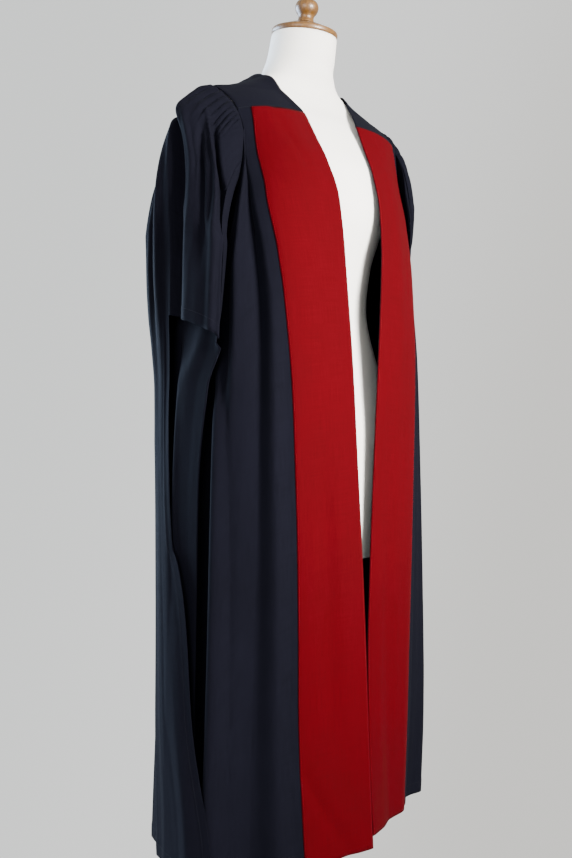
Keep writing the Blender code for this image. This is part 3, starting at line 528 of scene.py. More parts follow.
def back_point(share, down):
    top = back_top(share)
    z = top[..., 2] + (HEM_Z - top[..., 2]) * down
    plain = back_plain(share, z)
    pull = 1 - ease((top[..., 2] - z) / BLEND_DROP)[..., None]
    point = plain + (top - back_plain(share, top[..., 2])) * pull
    point[..., 2] = z
    away = point * (1, 1, 0)
    away = away / np.linalg.norm(away, axis=-1, keepdims=True)
    height = flute_depth(share, z) + 0.0008 * ripple(share, down, 21, 2.0) * ease(down / 0.1)
    return point + away * height[..., None]


def form_top(x, y, out):
    """The height of the form's surface, grown by out, over a point of the shoulders or the back."""
    low, high = np.full(x.shape, 1.20), np.full(x.shape, 1.50)
    for _ in range(28):
        z = (low + high) / 2
        half, front, back, middle = [column(FORM, name, z) for name in ("half", "front", "back", "middle")]
        depth = np.where(y < middle, front, back)
        inside = (x / (half + out)) ** 2 + ((y - middle) / (depth + out)) ** 2 < 1
        low, high = np.where(inside, z, low), np.where(inside, high, z)
    return low


def yoke_grid(rows, shoulder_columns, back_columns):
    shoulder = np.linspace(0, YOKE_ARM_SHARE, shoulder_columns + 1)
    behind = np.linspace(YOKE_ARM_SHARE, 1, back_columns + 1)[1:]
    shares = np.concatenate([shoulder, behind])
    out = np.linspace(0, 1, rows + 1)
    grid = []
    for side in (RIGHT, LEFT):
        neck = np.stack([column(NECK_EDGE, name, shares) for name in "xyz"], -1) * (side, 1, 1)
        over = np.clip(shares / YOKE_ARM_SHARE, 0, 1)
        arm = armhole_point(side, FRONT_CORNER + (BACK_CORNER - FRONT_CORNER) * over)
        behind_share = np.clip((shares - YOKE_ARM_SHARE) / (1 - YOKE_ARM_SHARE), 0, 1)
        across = BACK_ARM_SHARE + (0.5 - BACK_ARM_SHARE) * behind_share
        seam = back_top(across if side == RIGHT else 1 - across)
        outer = np.where((shares <= YOKE_ARM_SHARE)[:, None], arm, seam)
        line = neck[:, None] + (outer - neck)[:, None] * out[:, None]
        rise = 0.007 * ease((shares - 0.25) / 0.2) * ease((0.85 - shares) / 0.2)
        line[..., 2] += np.sin(np.pi * out) * (YOKE_BOW + rise[:, None] * (1 - out))
        pulls = np.sin(shares * 46 + 1.3 * side)[:, None] * ease((out - 0.55) / 0.4)
        line[..., 2] += 0.0009 * pulls * (1 - ease((out - 0.93) / 0.07))
        height = form_top(line[..., 0], line[..., 1], CLEARANCE_OUT) + CLEARANCE + 0.0004
        line[..., 2] = np.maximum(line[..., 2], np.where(line[..., 2] > 1.34, height, 0))
        line[0] = front_top(side, FRONT_TURN * out)
        grid.append(line)
    return np.concatenate([grid[0], grid[1][-2::-1]]).transpose(1, 0, 2)


def sleeve_share(side, u, z):
    """Degrees round the body and distance out of it, for a share u round the sleeve."""
    get = {name: column(SLEEVE, name, z) for name in SLEEVE}
    for name in ("seam", "tail", "inner"):
        get[name] = get[name] + SLEEVE_TURN[side] * np.clip((get["rear"] - get[name]) / 59, 0, 1)
    outer = u <= 0.5
    across = np.where(outer, u, 1 - u) / 0.5
    to_tail = np.clip(across / SLEEVE_TAIL_SHARE, 0, 1)
    past_tail = np.clip((across - SLEEVE_TAIL_SHARE) / (1 - SLEEVE_TAIL_SHARE), 0, 1)
    outer_angle = get["seam"] + (get["tail"] - get["seam"]) * to_tail
    outer_angle = outer_angle + (get["rear"] - get["tail"]) * past_tail
    inner_angle = get["inner"] + (get["rear"] - get["inner"]) * across
    depths = np.stack([get[name] for name in ("front", "lobe", "valley", "puff", "back")], -1)
    off = depth_round(across, depths)
    off = get["under"] + (off - get["under"]) * SLEEVE_FULLNESS[side]
    seam_off = get["under"] + (get["front"] - get["under"]) * SLEEVE_FULLNESS[side]
    fold_off = get["under"] + (get["back"] - get["under"]) * SLEEVE_FULLNESS[side] / 2
    to_fold = ease(np.abs(u - 0.5) / 0.035)
    to_seam = ease(np.minimum(u, 1 - u) / 0.035)
    to_seam = np.where(z > SLEEVE_LIP_Z - 0.005, to_seam, 1)
    layer = fold_off + (np.where(outer, off, get["under"]) - fold_off) * to_fold
    at_seam = np.where(outer, seam_off, seam_off - 2 * CLOTH)
    layer = at_seam + (layer - at_seam) * to_seam
    return np.where(outer, outer_angle, inner_angle), layer


def depth_round(across, depths):
    """smooth() through SLEEVE_LOOP, for a whole grid at once."""
    xs = np.array(SLEEVE_LOOP)
    step = np.diff(xs)
    slope = np.diff(depths, axis=-1) / step
    product = slope[..., 1:] * slope[..., :-1]
    same_way = product > 0
    total = np.where(same_way, slope[..., 1:] + slope[..., :-1], 1.0)
    inner = np.where(same_way, 2 * product / total, 0.0)
    tangent = np.concatenate([slope[..., :1], inner, slope[..., -1:]], -1)
    i = np.clip(np.searchsorted(xs, across, side="right") - 1, 0, len(step) - 1)
    t = (across - xs[i]) / step[i]

    def pick(values, k):
        return np.take_along_axis(values, k[..., None], -1)[..., 0]

    start = (1 + 2 * t) * (1 - t) ** 2 * pick(depths, i) + t * (1 - t) ** 2 * step[i] * pick(tangent, i)
    end = t * t * (3 - 2 * t) * pick(depths, i + 1) + t * t * (t - 1) * step[i] * pick(tangent, i + 1)
    return start + end


def sleeve_section(side, u, z):
    angle, off = sleeve_share(side, u, z)
    return body_point(side, z, angle, off)


def sleeve_head(side, u):
    """The solid's rows from the armhole to the top of the arm opening."""
    angle = FRONT_SEAM - 360 * u
    from_top = np.abs((angle + 180) % 360 - 180)
    reach = np.clip(np.cos(np.radians(np.clip(from_top * 0.75, 0, 90))), 0, 1)[:, None] ** 1.2
    on_yoke = (1 - ease((from_top - 40) / 30))[:, None]
    first = sleeve_section(side, u, np.full(u.shape, SLEEVE_TOP_LEVELS[0]))
    away = np.array([side, 0, 0])
    down = np.array([0, 0, -1])
    edge = armhole_point(side, angle)
    from_body = (edge - (0, SLEEVE_MIDDLE_Y, 0)) * (0.4, 1, 0)
    from_body = from_body / np.linalg.norm(from_body, axis=-1, keepdims=True)
    facing_body = np.maximum(ease((u - 0.50) / 0.06), 1 - ease((u - 0.03) / 0.05))[:, None]
    lap = CLOTH + LAP + CLOTH * facing_body
    arm = edge + from_body * lap * (1 - on_yoke) + away * 0.3 * SEAM * on_yoke
    ease_out = from_body * UNDERARM_EASE * (1 - reach)
    sag = 1 + HEAD_SAG * np.clip(np.sin(np.radians(angle)), 0, 1)[:, None]
    rows = [arm]
    for out, drop, share in zip(HEAD["out"], HEAD["drop"], HEAD["share"]):
        over = arm + (away * out + down * drop * sag) * HEAD_SIZE[side]
        rows.append(arm + (first - arm) * share * (1 - reach) + (over - arm) * reach + ease_out)
    rows.append((rows[-1] + first + ease_out) / 2 + away * PUFF * reach * HEAD_SIZE[side])
    for z in SLEEVE_TOP_LEVELS:
        level = np.full(u.shape, z)
        across = np.where(u <= 0.5, u / 0.5, 1)
        to_tail = np.clip(across / SLEEVE_TAIL_SHARE, 0, 1)
        lip = SLEEVE_LIP_Z + (SLEEVE_APEX_Z - SLEEVE_LIP_Z) * to_tail**0.7
        level = np.where((z <= SLEEVE_APEX_Z) & (across < SLEEVE_TAIL_SHARE), lip, level)
        rows.append(sleeve_section(side, u, level))
    return np.array(rows)


def between_rows(rows, at):
    """A smooth surface through the rows, at fractional row numbers."""
    last = len(rows) - 1
    i = np.clip(at.astype(int), 0, last - 1)
    t = (at - i)[:, None, None]
    before, start = rows[np.maximum(i - 1, 0)], rows[i]
    end, after = rows[i + 1], rows[np.minimum(i + 2, last)]
    before = np.where((i == 0)[:, None, None], 2 * start - end, before)
    after = np.where((i + 2 > last)[:, None, None], 2 * end - start, after)
    a, b = (end - before) / 2, (after - start) / 2
    return (
        (2 * t**3 - 3 * t**2 + 1) * start
        + (t**3 - 2 * t**2 + t) * a
        + (3 * t**2 - 2 * t**3) * end
        + (t**3 - t**2) * b
    )


def grid_normals(grid):
    """The unit normal at each point of a grid, by rows crossed with columns."""
    down = np.gradient(grid, axis=0)
    across = np.gradient(grid, axis=1)
    normal = np.cross(across, down)
    return normal / np.maximum(np.linalg.norm(normal, axis=-1, keepdims=True), 1e-9)


def tuck_field(side, u, row):
    """Narrow pleats over the shoulder: rounded ridges with sharp valleys, fading into the folds."""
    angle = FRONT_SEAM - 360 * u
    place = (TUCKS_FRONT - angle) / (TUCKS_FRONT - TUCKS_BACK)
    lean = TUCK_LEAN * row * np.clip(np.sin(np.radians(angle)), 0, 1)
    phase = TUCKS * (place + lean) + 0.10 * np.sin(9.0 * place + side)
    raised = 0.38 * (1 - ease((row - 0.5) / 0.9))
    ridge = np.abs(np.sin(np.pi * phase)) ** 0.60 - 0.60 + raised
    inside = ease(place / 0.04) * ease((1 - place) / 0.04)
    length = 2.4 + 0.8 * ease((place - 0.15) / 0.3)
    length = length + 0.4 * np.sin(7.0 * phase + side) + 0.3 * np.sin(2.3 * phase)
    fade = ease(row / 0.25) * (1 - ease((row - length + 1.3) / 1.3))
    return ridge * inside * fade * TUCK_DEPTH * (0.85 + 0.15 * np.sin(3.3 * phase))


def sleeve_surface(side):
    """The sleeve's two parts as grids of points, with what each point's row and share is."""
    tucked_from, tucked_to = (FRONT_SEAM - TUCKS_FRONT) / 360, (FRONT_SEAM - TUCKS_BACK) / 360
    u = np.concatenate([
        np.linspace(0, tucked_from, 16, endpoint=False),
        np.linspace(tucked_from, tucked_to, TUCKS * 7, endpoint=False),
        np.linspace(tucked_to, 1, 58),
    ])
    apex = SLEEVE_TAIL_SHARE / 2
    u = np.sort(np.append(u[np.abs(u - apex) > 4e-4], apex))
    rows = sleeve_head(side, u)
    rows_at = np.concatenate([np.linspace(0, 5, 61)[:-1], np.linspace(5, len(rows) - 1, 31)])
    top = between_rows(rows, rows_at)
    z = np.linspace(SLEEVE_APEX_Z, SLEEVE_BOTTOM_Z, 100)
    columns = u[u >= apex]
    low = sleeve_section(side, columns[None, :] + 0 * z[:, None], z[:, None] + 0 * columns[None, :])
    row_of_z = np.interp(-z, [-height for height in LOW_ROW_HEIGHTS], range(8, 17))
    pieces = []
    for grid, row, share in ((top, rows_at, u), (low, row_of_z, columns)):
        row = row[:, None] + 0 * share[None, :]
        share = share[None, :] + 0 * row
        outer = ease((0.485 - share) / 0.03)
        inner = ease((share - 0.53) / 0.05) * ease((row - 6.0) / 2.0)
        height = fold_field(SLEEVE_FOLDS[side], row, share) * outer
        height = height - fold_field(INNER_FOLDS, row, share) * inner
        height = height + tuck_field(side, share, row)
        quiet = ease(row / 1.5) * np.where(share > 0.5, 0.35, 1.0)
        height = height + 0.0008 * ripple(share * 3, row / 9, 31 + side, 2.0) * quiet
        pieces.append((grid, row, height))
    return pieces


# Materials


class Nodes:
    """Builds one procedural material, node by node."""

    def __init__(self, name):
        self.material = bpy.data.materials.new(name)
        self.material.use_nodes = True
        self.tree = self.material.node_tree
        self.shader = self.tree.nodes["Principled BSDF"]

    def add(self, kind, **values):
        node = self.tree.nodes.new(kind)
        for name, value in values.items():
            setattr(node, name, value)
        return node

    def link(self, source, target):
        self.tree.links.new(source, target)

    def value(self, socket, value):
        if isinstance(value, bpy.types.NodeSocket):
            self.link(value, socket)
        else:
            socket.default_value = value

    def math(self, operation, a, b=0.0, c=0.0):
        node = self.add("ShaderNodeMath", operation=operation)
        for socket, value in zip(node.inputs, (a, b, c)):
            self.value(socket, value)
        return node.outputs[0]

    def total(self, *parts):
        """The sum of values, each with its weight."""
        whole = 0.0
        for value, weight in parts:
            whole = self.math("MULTIPLY_ADD", value, weight, whole)
        return whole

    def noise(self, vector, scale, detail=3.0, roughness=0.5):
        node = self.add("ShaderNodeTexNoise")
        self.link(vector, node.inputs["Vector"])
        node.inputs["Scale"].default_value = scale
        node.inputs["Detail"].default_value = detail
        node.inputs["Roughness"].default_value = roughness
        return node.outputs["Fac"]

    def stretched(self, vector, scale):
        node = self.add("ShaderNodeMapping")
        self.link(vector, node.inputs["Vector"])
        node.inputs["Scale"].default_value = scale
        return node.outputs["Vector"]

    def ramp(self, factor, *stops):
        node = self.add("ShaderNodeValToRGB")
        self.link(factor, node.inputs["Fac"])
        elements = node.color_ramp.elements
        while len(elements) < len(stops):
            elements.new(0.5)
        for element, (place, colour) in zip(elements, stops):
            element.position = place
            element.color = (*colour, 1)
        return node.outputs["Color"]

    def span(self, factor, low, high, to_low, to_high):
        node = self.add("ShaderNodeMapRange")
        self.link(factor, node.inputs["Value"])
        ends = {"From Min": low, "From Max": high, "To Min": to_low, "To Max": to_high}
        for name, value in ends.items():
            node.inputs[name].default_value = value
        return node.outputs["Result"]

    def bump(self, height, strength, distance, normal=None):
        node = self.add("ShaderNodeBump")
        node.inputs["Strength"].default_value = strength
        node.inputs["Distance"].default_value = distance
        self.link(height, node.inputs["Height"])
        if normal is not None:
            self.link(normal, node.inputs["Normal"])
        return node.outputs["Normal"]

    def wire(self, **sockets):
        for name, value in sockets.items():
            self.value(self.shader.inputs[name.replace("_", " ")], value)


def cloth_material(name, dark, light, thread, twill, sheen, sheen_colour, grain):
    """A woven cloth: its thread is the pitch in metres, twill the share of slanting lines."""
    n = Nodes(name)
    grain_map = n.add("ShaderNodeUVMap", uv_map="Grain").outputs["UV"]
    parts = n.add("ShaderNodeSeparateXYZ")
    n.link(grain_map, parts.inputs[0])
    across, along = parts.outputs["X"], parts.outputs["Y"]
    turn = 2 * math.pi / thread
    warp = n.math("SINE", n.math("MULTIPLY", across, turn))
    weft = n.math("SINE", n.math("MULTIPLY", along, turn * 1.12))
    line = n.math("SINE", n.math("MULTIPLY", n.math("ADD", across, along), turn / 2.6))
    plain = n.math("MULTIPLY", warp, weft)
    weave = n.total((plain, 1 - twill), (line, twill))
    slub = n.noise(n.stretched(grain_map, (900.0, 26.0, 1.0)), 1.0, 2.0)
    slub_across = n.noise(n.stretched(grain_map, (24.0, 700.0, 1.0)), 1.0, 2.0)
    place = n.add("ShaderNodeTexCoord").outputs["Object"]
    cloud = n.noise(place, 7.0, 4.0, 0.55)
    lint = n.noise(place, 900.0, 1.0, 0.5)
    raised = n.span(weave, -1.0, 1.0, 0.0, 1.0)
    # the weave's raised share lightens the base colour: a painted highlight on the raised threads and painted
    # shade in the hollows between them, mixed with the slubs' and clouds' own tone
    tone = n.total((slub, 0.34), (slub_across, 0.26), (cloud, 0.30), (raised, 0.10))
    n.wire(Base_Color=n.ramp(tone, (0.34, dark), (0.66, light)))
    n.wire(Roughness=n.span(n.total((cloud, 1.0), (weave, 0.12)), 0.2, 0.9, 0.80, 0.92))
    n.wire(Specular_IOR_Level=0.03, Sheen_Weight=sheen, Sheen_Roughness=0.42, Sheen_Tint=(*sheen_colour, 1))
    height = n.total((weave, 1.0), (slub, 1.6), (lint, 0.5))
    soft = n.noise(n.stretched(grain_map, (60.0, 14.0, 1.0)), 1.0, 3.0)
    n.wire(Normal=n.bump(height, grain, 0.00012, n.bump(soft, 0.35, 0.0012)))
    return n.material


def thread_material(name, colour):
    n = Nodes(name)
    place = n.add("ShaderNodeTexCoord").outputs["Object"]
    twist = n.noise(place, 5200.0, 2.0)
    n.wire(Base_Color=n.ramp(twist, (0.3, tuple(c * 0.7 for c in colour)), (0.7, colour)))
    n.wire(Roughness=n.span(twist, 0.2, 0.8, 0.45, 0.65))
    n.wire(Sheen_Weight=0.0, Specular_IOR_Level=0.08)
    n.wire(Normal=n.bump(twist, 0.6, 0.0001))
    return n.material


def jersey_material(name):
    """The form's knitted cover: fine wales and courses, slightly uneven and warm white."""
    n = Nodes(name)
    knit_map = n.add("ShaderNodeUVMap", uv_map="Grain").outputs["UV"]
    parts = n.add("ShaderNodeSeparateXYZ")
    n.link(knit_map, parts.inputs[0])
    wale = n.math("MULTIPLY", parts.outputs["X"], 2 * math.pi / 0.00125)
    course = n.math("MULTIPLY", parts.outputs["Y"], 2 * math.pi / 0.00092)
    lean = n.math("MULTIPLY", n.math("SINE", wale), 1.25)
    loop = n.math("MULTIPLY", n.math("SINE", n.math("ADD", course, lean)), 0.6)
    rib = n.math("ABSOLUTE", n.math("SINE", n.math("MULTIPLY", wale, 0.5)))
    knit = n.math("ADD", loop, rib)
    place = n.add("ShaderNodeTexCoord").outputs["Object"]
    cloud = n.noise(place, 5.0, 4.0)
    fuzz = n.noise(place, 620.0, 2.0)
    tone = n.total((cloud, 0.7), (fuzz, 0.3), (knit, 0.05))
    n.wire(Base_Color=n.ramp(tone, (0.30, (0.76, 0.725, 0.67)), (0.70, (0.88, 0.85, 0.80))))
    n.wire(Roughness=n.span(fuzz, 0.2, 0.8, 0.82, 0.95))
    n.wire(Specular_IOR_Level=0.25, Sheen_Weight=0.12, Sheen_Roughness=0.5)
    n.wire(Normal=n.bump(n.math("ADD", knit, fuzz), 0.45, 0.00022))
    return n.material


def wood_material(name, along, scale=1.0):
    """Varnished beech: growth lines along an axis, short flecks and a satin coat."""
    n = Nodes(name)
    place = n.add("ShaderNodeTexCoord").outputs["Object"]
    stretch = {"X": (5.0, 60.0, 60.0), "Z": (60.0, 60.0, 5.0)}[along]
    grain = n.noise(n.stretched(place, tuple(s * scale for s in stretch)), 1.0, 5.0, 0.6)
    warp = n.add("ShaderNodeVectorMath", operation="ADD")
    n.link(place, warp.inputs[0])
    drift = n.add("ShaderNodeVectorMath", operation="SCALE")
    n.link(n.add("ShaderNodeTexNoise").outputs["Color"], drift.inputs[0])
    drift.inputs["Scale"].default_value = 0.010
    n.link(drift.outputs[0], warp.inputs[1])
    rings = n.add("ShaderNodeTexWave", wave_type="BANDS", bands_direction="Y", wave_profile="SAW")
    n.link(warp.outputs[0], rings.inputs["Vector"])
    settings = {"Scale": 38.0 * scale, "Distortion": 3.5, "Detail": 3.0, "Detail Scale": 1.4}
    for socket, value in settings.items():
        rings.inputs[socket].default_value = value
    fleck_scale = {"X": (120.0, 900.0, 900.0), "Z": (900.0, 900.0, 120.0)}[along]
    fleck = n.noise(n.stretched(place, tuple(s * scale for s in fleck_scale)), 1.0, 2.0)
    tone = n.total((grain, 0.50), (rings.outputs["Fac"], 0.22), (fleck, 0.30))
    colour = n.ramp(
        tone,
        (0.28, (0.055, 0.019, 0.0012)),
        (0.50, (0.092, 0.037, 0.003)),
        (0.74, (0.135, 0.060, 0.006)),
    )
    n.wire(Base_Color=colour)
    n.wire(Roughness=n.span(grain, 0.2, 0.8, 0.34, 0.50))
    n.wire(Coat_Weight=0.22, Coat_Roughness=0.16)
    n.wire(Normal=n.bump(fleck, 0.12, 0.0003))
    return n.material


def floor_material():
    n = Nodes("floor")
    place = n.add("ShaderNodeTexCoord").outputs["Object"]
    cloud = n.noise(place, 1.6, 4.0)
    n.wire(Base_Color=n.ramp(cloud, (0.3, (0.74, 0.745, 0.755)), (0.7, (0.79, 0.795, 0.80))))
    n.wire(Roughness=0.85, Specular_IOR_Level=0.2)
    return n.material


BLACK_DARK, BLACK_LIGHT = (0.0016, 0.0016, 0.0033), (0.0036, 0.0036, 0.0068)
RED_DARK, RED_LIGHT = (0.041, 0.0001, 0.0011), (0.057, 0.0001, 0.0020)
BLACK = cloth_material("black_cloth", BLACK_DARK, BLACK_LIGHT, 0.00062, 0.55, 0.006, (0.62, 0.68, 0.9), 0.55)
RED = cloth_material("red_facing", RED_DARK, RED_LIGHT, 0.00058, 0.35, 0.004, (1.0, 0.2, 0.2), 0.5)
WHITE = jersey_material("form_cover")
WOOD_CAP = wood_material("turned_wood_cap", "X", 1.3)
WOOD_POLE = wood_material("turned_wood_pole", "Z")
WOOD_BASE = wood_material("turned_wood_base", "X", 0.8)
BLACK_THREAD = thread_material("black_thread", (0.006, 0.006, 0.010))
RED_THREAD = thread_material("red_thread", (0.17, 0.0010, 0.0070))


# Making pieces

collection = bpy.data.collections.new("graduation_gown_looks")
bpy.context.scene.collection.children.link(collection)


def put(name, mesh, material, slot, *nodes):
    item = bpy.data.objects.new(name, mesh)
    collection.objects.link(item)
    mesh.materials.append(material)
    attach(item, "root")
    if nodes:
        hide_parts(*nodes)
    return item


def down_lengths(grid):
    """Metres down the cloth from its top edge, at each point."""
    step = np.linalg.norm(np.diff(grid, axis=0), axis=-1)
    return np.concatenate([np.zeros((1, grid.shape[1])), np.cumsum(step, axis=0)])


def across_lengths(grid):
    """Metres across the cloth from its first column, at each point."""
    return down_lengths(grid.transpose(1, 0, 2)).T


def arc_lengths(grid):
    """Each point's place on the cloth, in metres across and down it, for the weave."""
    across = across_lengths(grid)
    return np.stack([across - across[:, [across.shape[1] // 2]], -down_lengths(grid)], -1)


def join_grids(grids):
    """Vertices, quads and grain coordinates of several grids, welded where they meet."""
    points, faces, grain = [], [], []
    start = 0
    for grid, coords in grids:
        rows, columns = grid.shape[:2]
        index = np.arange(rows * columns).reshape(rows, columns) + start
        quads = np.stack([index[:-1, :-1], index[:-1, 1:], index[1:, 1:], index[1:, :-1]], -1)
        faces.append(quads.reshape(-1, 4))
        points.append(grid.reshape(-1, 3))
        grain.append(coords.reshape(-1, 2))
        start += rows * columns
    points, faces, grain = np.concatenate(points), np.concatenate(faces), np.concatenate(grain)
    _, first, back = np.unique(np.round(points * WELD), axis=0, return_index=True, return_inverse=True)
    return points[first], back.reshape(-1)[faces], grain[faces]


def grain_mesh(name, points, faces, corner_grain, caps=()):
    """A smooth mesh with its weave's coordinates. The caps have none."""
    mesh = bpy.data.meshes.new(name)
    mesh.from_pydata(points.tolist(), [], faces.tolist() + list(caps))
    flat = np.zeros(len(mesh.loops) * 2, np.float32)
    flat[: corner_grain.size] = corner_grain.ravel()
    mesh.uv_layers.new(name="Grain").data.foreach_set("uv", flat)
    mesh.shade_smooth()
    mesh.validate()
    mesh.update()
    return mesh


def cloth_piece(name, grids, outward, thickness, material, slot, node):
    """A thin shell of cloth on its grids. outward is +1 or -1: the side it thickens to."""
    points, faces, corner_grain = join_grids(grids)
    if outward < 0:
        faces, corner_grain = faces[:, ::-1], corner_grain[:, ::-1]
    item = put(name, grain_mesh(name, points, faces, corner_grain), material, slot, node)
    wall = item.modifiers.new("Thickness", "SOLIDIFY")
    wall.thickness = thickness
    wall.offset = 1.0
    wall.use_rim = True
    wall.use_even_offset = False
    return item


def turned_edge(from_edge, width):
    """The step of a turned-up edge of a width, by metres from the edge."""
    return HEM_RISE * (1 - ease((from_edge - width) / HEM_EASE))


def hem(lengths):
    """The step of the lower hem, by metres down the cloth."""
    return turned_edge(lengths[-1:] - lengths, HEM_WIDTH)


def lifted(grid, normals, height):
    """A grid moved out along its normals."""
    return grid + normals * height[..., None]


def seam_dip(from_seam):
    """How the cloth sinks into a seam, by metres from it."""
    return -SEAM_DIP * (1 - ease(from_seam / SEAM_DIP_WIDTH))


STITCH_RING = ((-1, 0.0), (-0.62, 0.85), (0.0, 1.0), (0.62, 0.85), (1, 0.0))


def stitch_mesh(name, runs):
    """Short raised stitches along each run of points; a run also has its normals."""
    points, faces = [], []
    for path, normals in runs:
        step = np.linalg.norm(np.diff(path, axis=0), axis=-1)
        along = np.concatenate([[0], np.cumsum(step)])
        count = int(along[-1] / STITCH_PITCH)
        for k in range(count):
            middle = (k + 0.5) * STITCH_PITCH
            ends = [
                np.array([np.interp(middle + d, along, path[:, i]) for i in range(3)])
                for d in (-STITCH_LENGTH / 2, STITCH_LENGTH / 2)
            ]
            out = np.array([np.interp(middle, along, normals[:, i]) for i in range(3)])
            out = out / np.linalg.norm(out)
            centre, way = (ends[0] + ends[1]) / 2, (ends[1] - ends[0]) / 2
            side = np.cross(way, out)
            side = side / max(np.linalg.norm(side), 1e-9)
            base = len(points)
            for t, r in STITCH_RING:
                middle_point = centre + way * t + out * (STITCH_WIDTH * (0.55 * r - 0.15))
                if r == 0:
                    points.append(middle_point)
                    continue
                for c, s in ((1, 0), (0, 1), (-1, 0), (0, -1)):
                    points.append(middle_point + (side * c + out * s) * STITCH_WIDTH * r)
            for j in range(4):
                nxt = (j + 1) % 4
                faces.append((base, base + 1 + nxt, base + 1 + j))
                for ring in (0, 1):
                    a = base + 1 + 4 * ring
                    faces.append((a + j, a + nxt, a + 4 + nxt, a + 4 + j))
                faces.append((base + 9 + j, base + 9 + nxt, base + 13))
    mesh = bpy.data.meshes.new(name)
    mesh.from_pydata([tuple(p) for p in points], [], faces)
    mesh.shade_smooth()
    mesh.update()
    return mesh


def stitches(name, runs, material, slot):
    return put(name, stitch_mesh(name, runs), material, slot)


def run_at(points, normals, lengths, at):
    """Where each column of a grid has run at metres, with the normals there."""
    at = np.broadcast_to(at, lengths.shape[1:])
    return tuple(
        np.array([[np.interp(a, lengths[:, j], field[:, j, k]) for k in range(3)] for j, a in enumerate(at)])
        for field in (points, normals)
    )


def run_down(points, normals, widths, at):
    """Where each row of a grid has run at metres across, with the normals there."""
    return run_at(points.transpose(1, 0, 2), normals.transpose(1, 0, 2), widths.T, at)


def hem_run(points, normals, lengths):
    """The line of a hem's stitches."""
    return run_at(points, normals, lengths, lengths[-1] - HEM_WIDTH + STITCH_INSET)


def lower_top(grid, gap):
    """Lowers the top edge of a grid into it."""
    way = grid[3] - grid[0]
    grid[0] += way / np.linalg.norm(way, axis=-1, keepdims=True) * gap
    return grid


def make_fronts():
    facing = np.linspace(0, FACING_SHARE, 31)
    side_part = np.linspace(FACING_SHARE, 1, 101)[1:]
    n = len(facing)
    shares, depths = np.meshgrid(np.concatenate([facing, side_part]), np.linspace(0, 1, 181) ** 1.12)
    for side in (RIGHT, LEFT):
        label = LABEL[side]
        outward = -side
        grid = front_point(side, shares, depths)
        lengths = down_lengths(grid)
        normals = grid_normals(grid) * outward
        rise = hem(lengths) + seam_dip(lengths) * (shares <= FRONT_TURN)
        shell = lifted(grid, normals, CLOTH - SHELL + rise)
        black = cloth_piece(
            f"front_cloth_{label}", [(shell, arc_lengths(grid))],
            outward, SHELL, BLACK, "black_cloth", f"front_{label}",
        )
        from_open = across_lengths(grid)[:, :n]
        edge = np.minimum(from_open, from_open[:, -1:] - from_open)
        lift = FACING_PRESS + FACING_PUFF * ease(edge / 0.006)
        lift = lift + 0.0002 * ripple(shares[:, :n] * 3, depths[:, :n] * 2.4, 51 + side, 3.0)
        lift = CLOTH + lift + rise[:, :n]
        step = FACING_STEP[side] * (1 - ease((shares[0, :n] / FACING_SHARE - 0.62) / 0.14))
        red_grid = lower_top(lifted(grid[:, :n], normals[:, :n], lift), FACING_GAP + step[:, None])
        red = cloth_piece(
            f"facing_cloth_{label}", [(red_grid, arc_lengths(grid[:, :n]))],
            outward, RED_SHELL, RED, "red_facing", f"facing_{label}",
        )
        top = lifted(grid[:, :n], normals[:, :n], lift + RED_SHELL)
        runs = [
            run_down(top[4:], normals[4:, :n], from_open[4:], at)
            for at in (FACING_STITCHES[0], from_open[4:, -1] - FACING_STITCHES[1])
        ]
        red_stitches = stitches(f"facing_stitches_{label}", runs, RED_THREAD, "red_facing")
        outer = lifted(grid, normals, CLOTH + rise)
        run = hem_run(outer[:, n:], normals[:, n:], lengths[:, n:])
        front_stitches = stitches(f"front_stitches_{label}", [run], BLACK_THREAD, "black_cloth")


def make_back():
    arm = np.linspace(0, BACK_ARM_SHARE, 14)
    flutes = np.linspace(BACK_ARM_SHARE, 1 - BACK_ARM_SHARE, BACK_FLUTES * 17 + 1)
    across = np.concatenate([arm[:-1], flutes, 1 - arm[-2::-1]])
    shares, depths = np.meshgrid(across, np.linspace(0, 1, 141) ** 1.15)
    grid = back_point(shares, depths)
    lengths = down_lengths(grid)
    normals = grid_normals(grid)
    on_yoke = (shares >= BACK_ARM_SHARE) & (shares <= 1 - BACK_ARM_SHARE)
    rise = hem(lengths) + seam_dip(lengths) * on_yoke
    shell = lifted(grid, normals, CLOTH - SHELL + rise)
    cloth = cloth_piece("back_cloth", [(shell, arc_lengths(grid))], 1, SHELL, BLACK, "black_cloth", "back")
    run = hem_run(lifted(grid, normals, CLOTH + rise), normals, lengths)
    thread = stitches("back_stitches", [run], BLACK_THREAD, "black_cloth")


def make_yoke():
    grid = yoke_grid(28, 72, 44)
    normals = grid_normals(grid)
    widths = across_lengths(grid)
    lengths = down_lengths(grid)
    from_front = np.minimum(widths, widths[:, -1:] - widths)
    rise = seam_dip(np.minimum(from_front, lengths[-1:] - lengths)) + turned_edge(lengths, NECK_HEM)
    shell = lifted(grid, normals, CLOTH - SHELL + rise)
    cloth = cloth_piece("yoke_cloth", [(shell, arc_lengths(grid))], 1, SHELL, BLACK, "black_cloth", "yoke")
    outer = lifted(grid, normals, CLOTH + rise)
    neck = slice(2, -2)
    back = grid[-1, :, 2] < YOKE_BACK_Z + 0.001
    runs = [
        run_at(outer[:, columns], normals[:, columns], lengths[:, columns], at)
        for columns, at in ((neck, NECK_HEM - STITCH_INSET), (back, lengths[-1, back] - YOKE_STITCHES))
    ]
    thread = stitches("yoke_stitches", runs, BLACK_THREAD, "black_cloth")


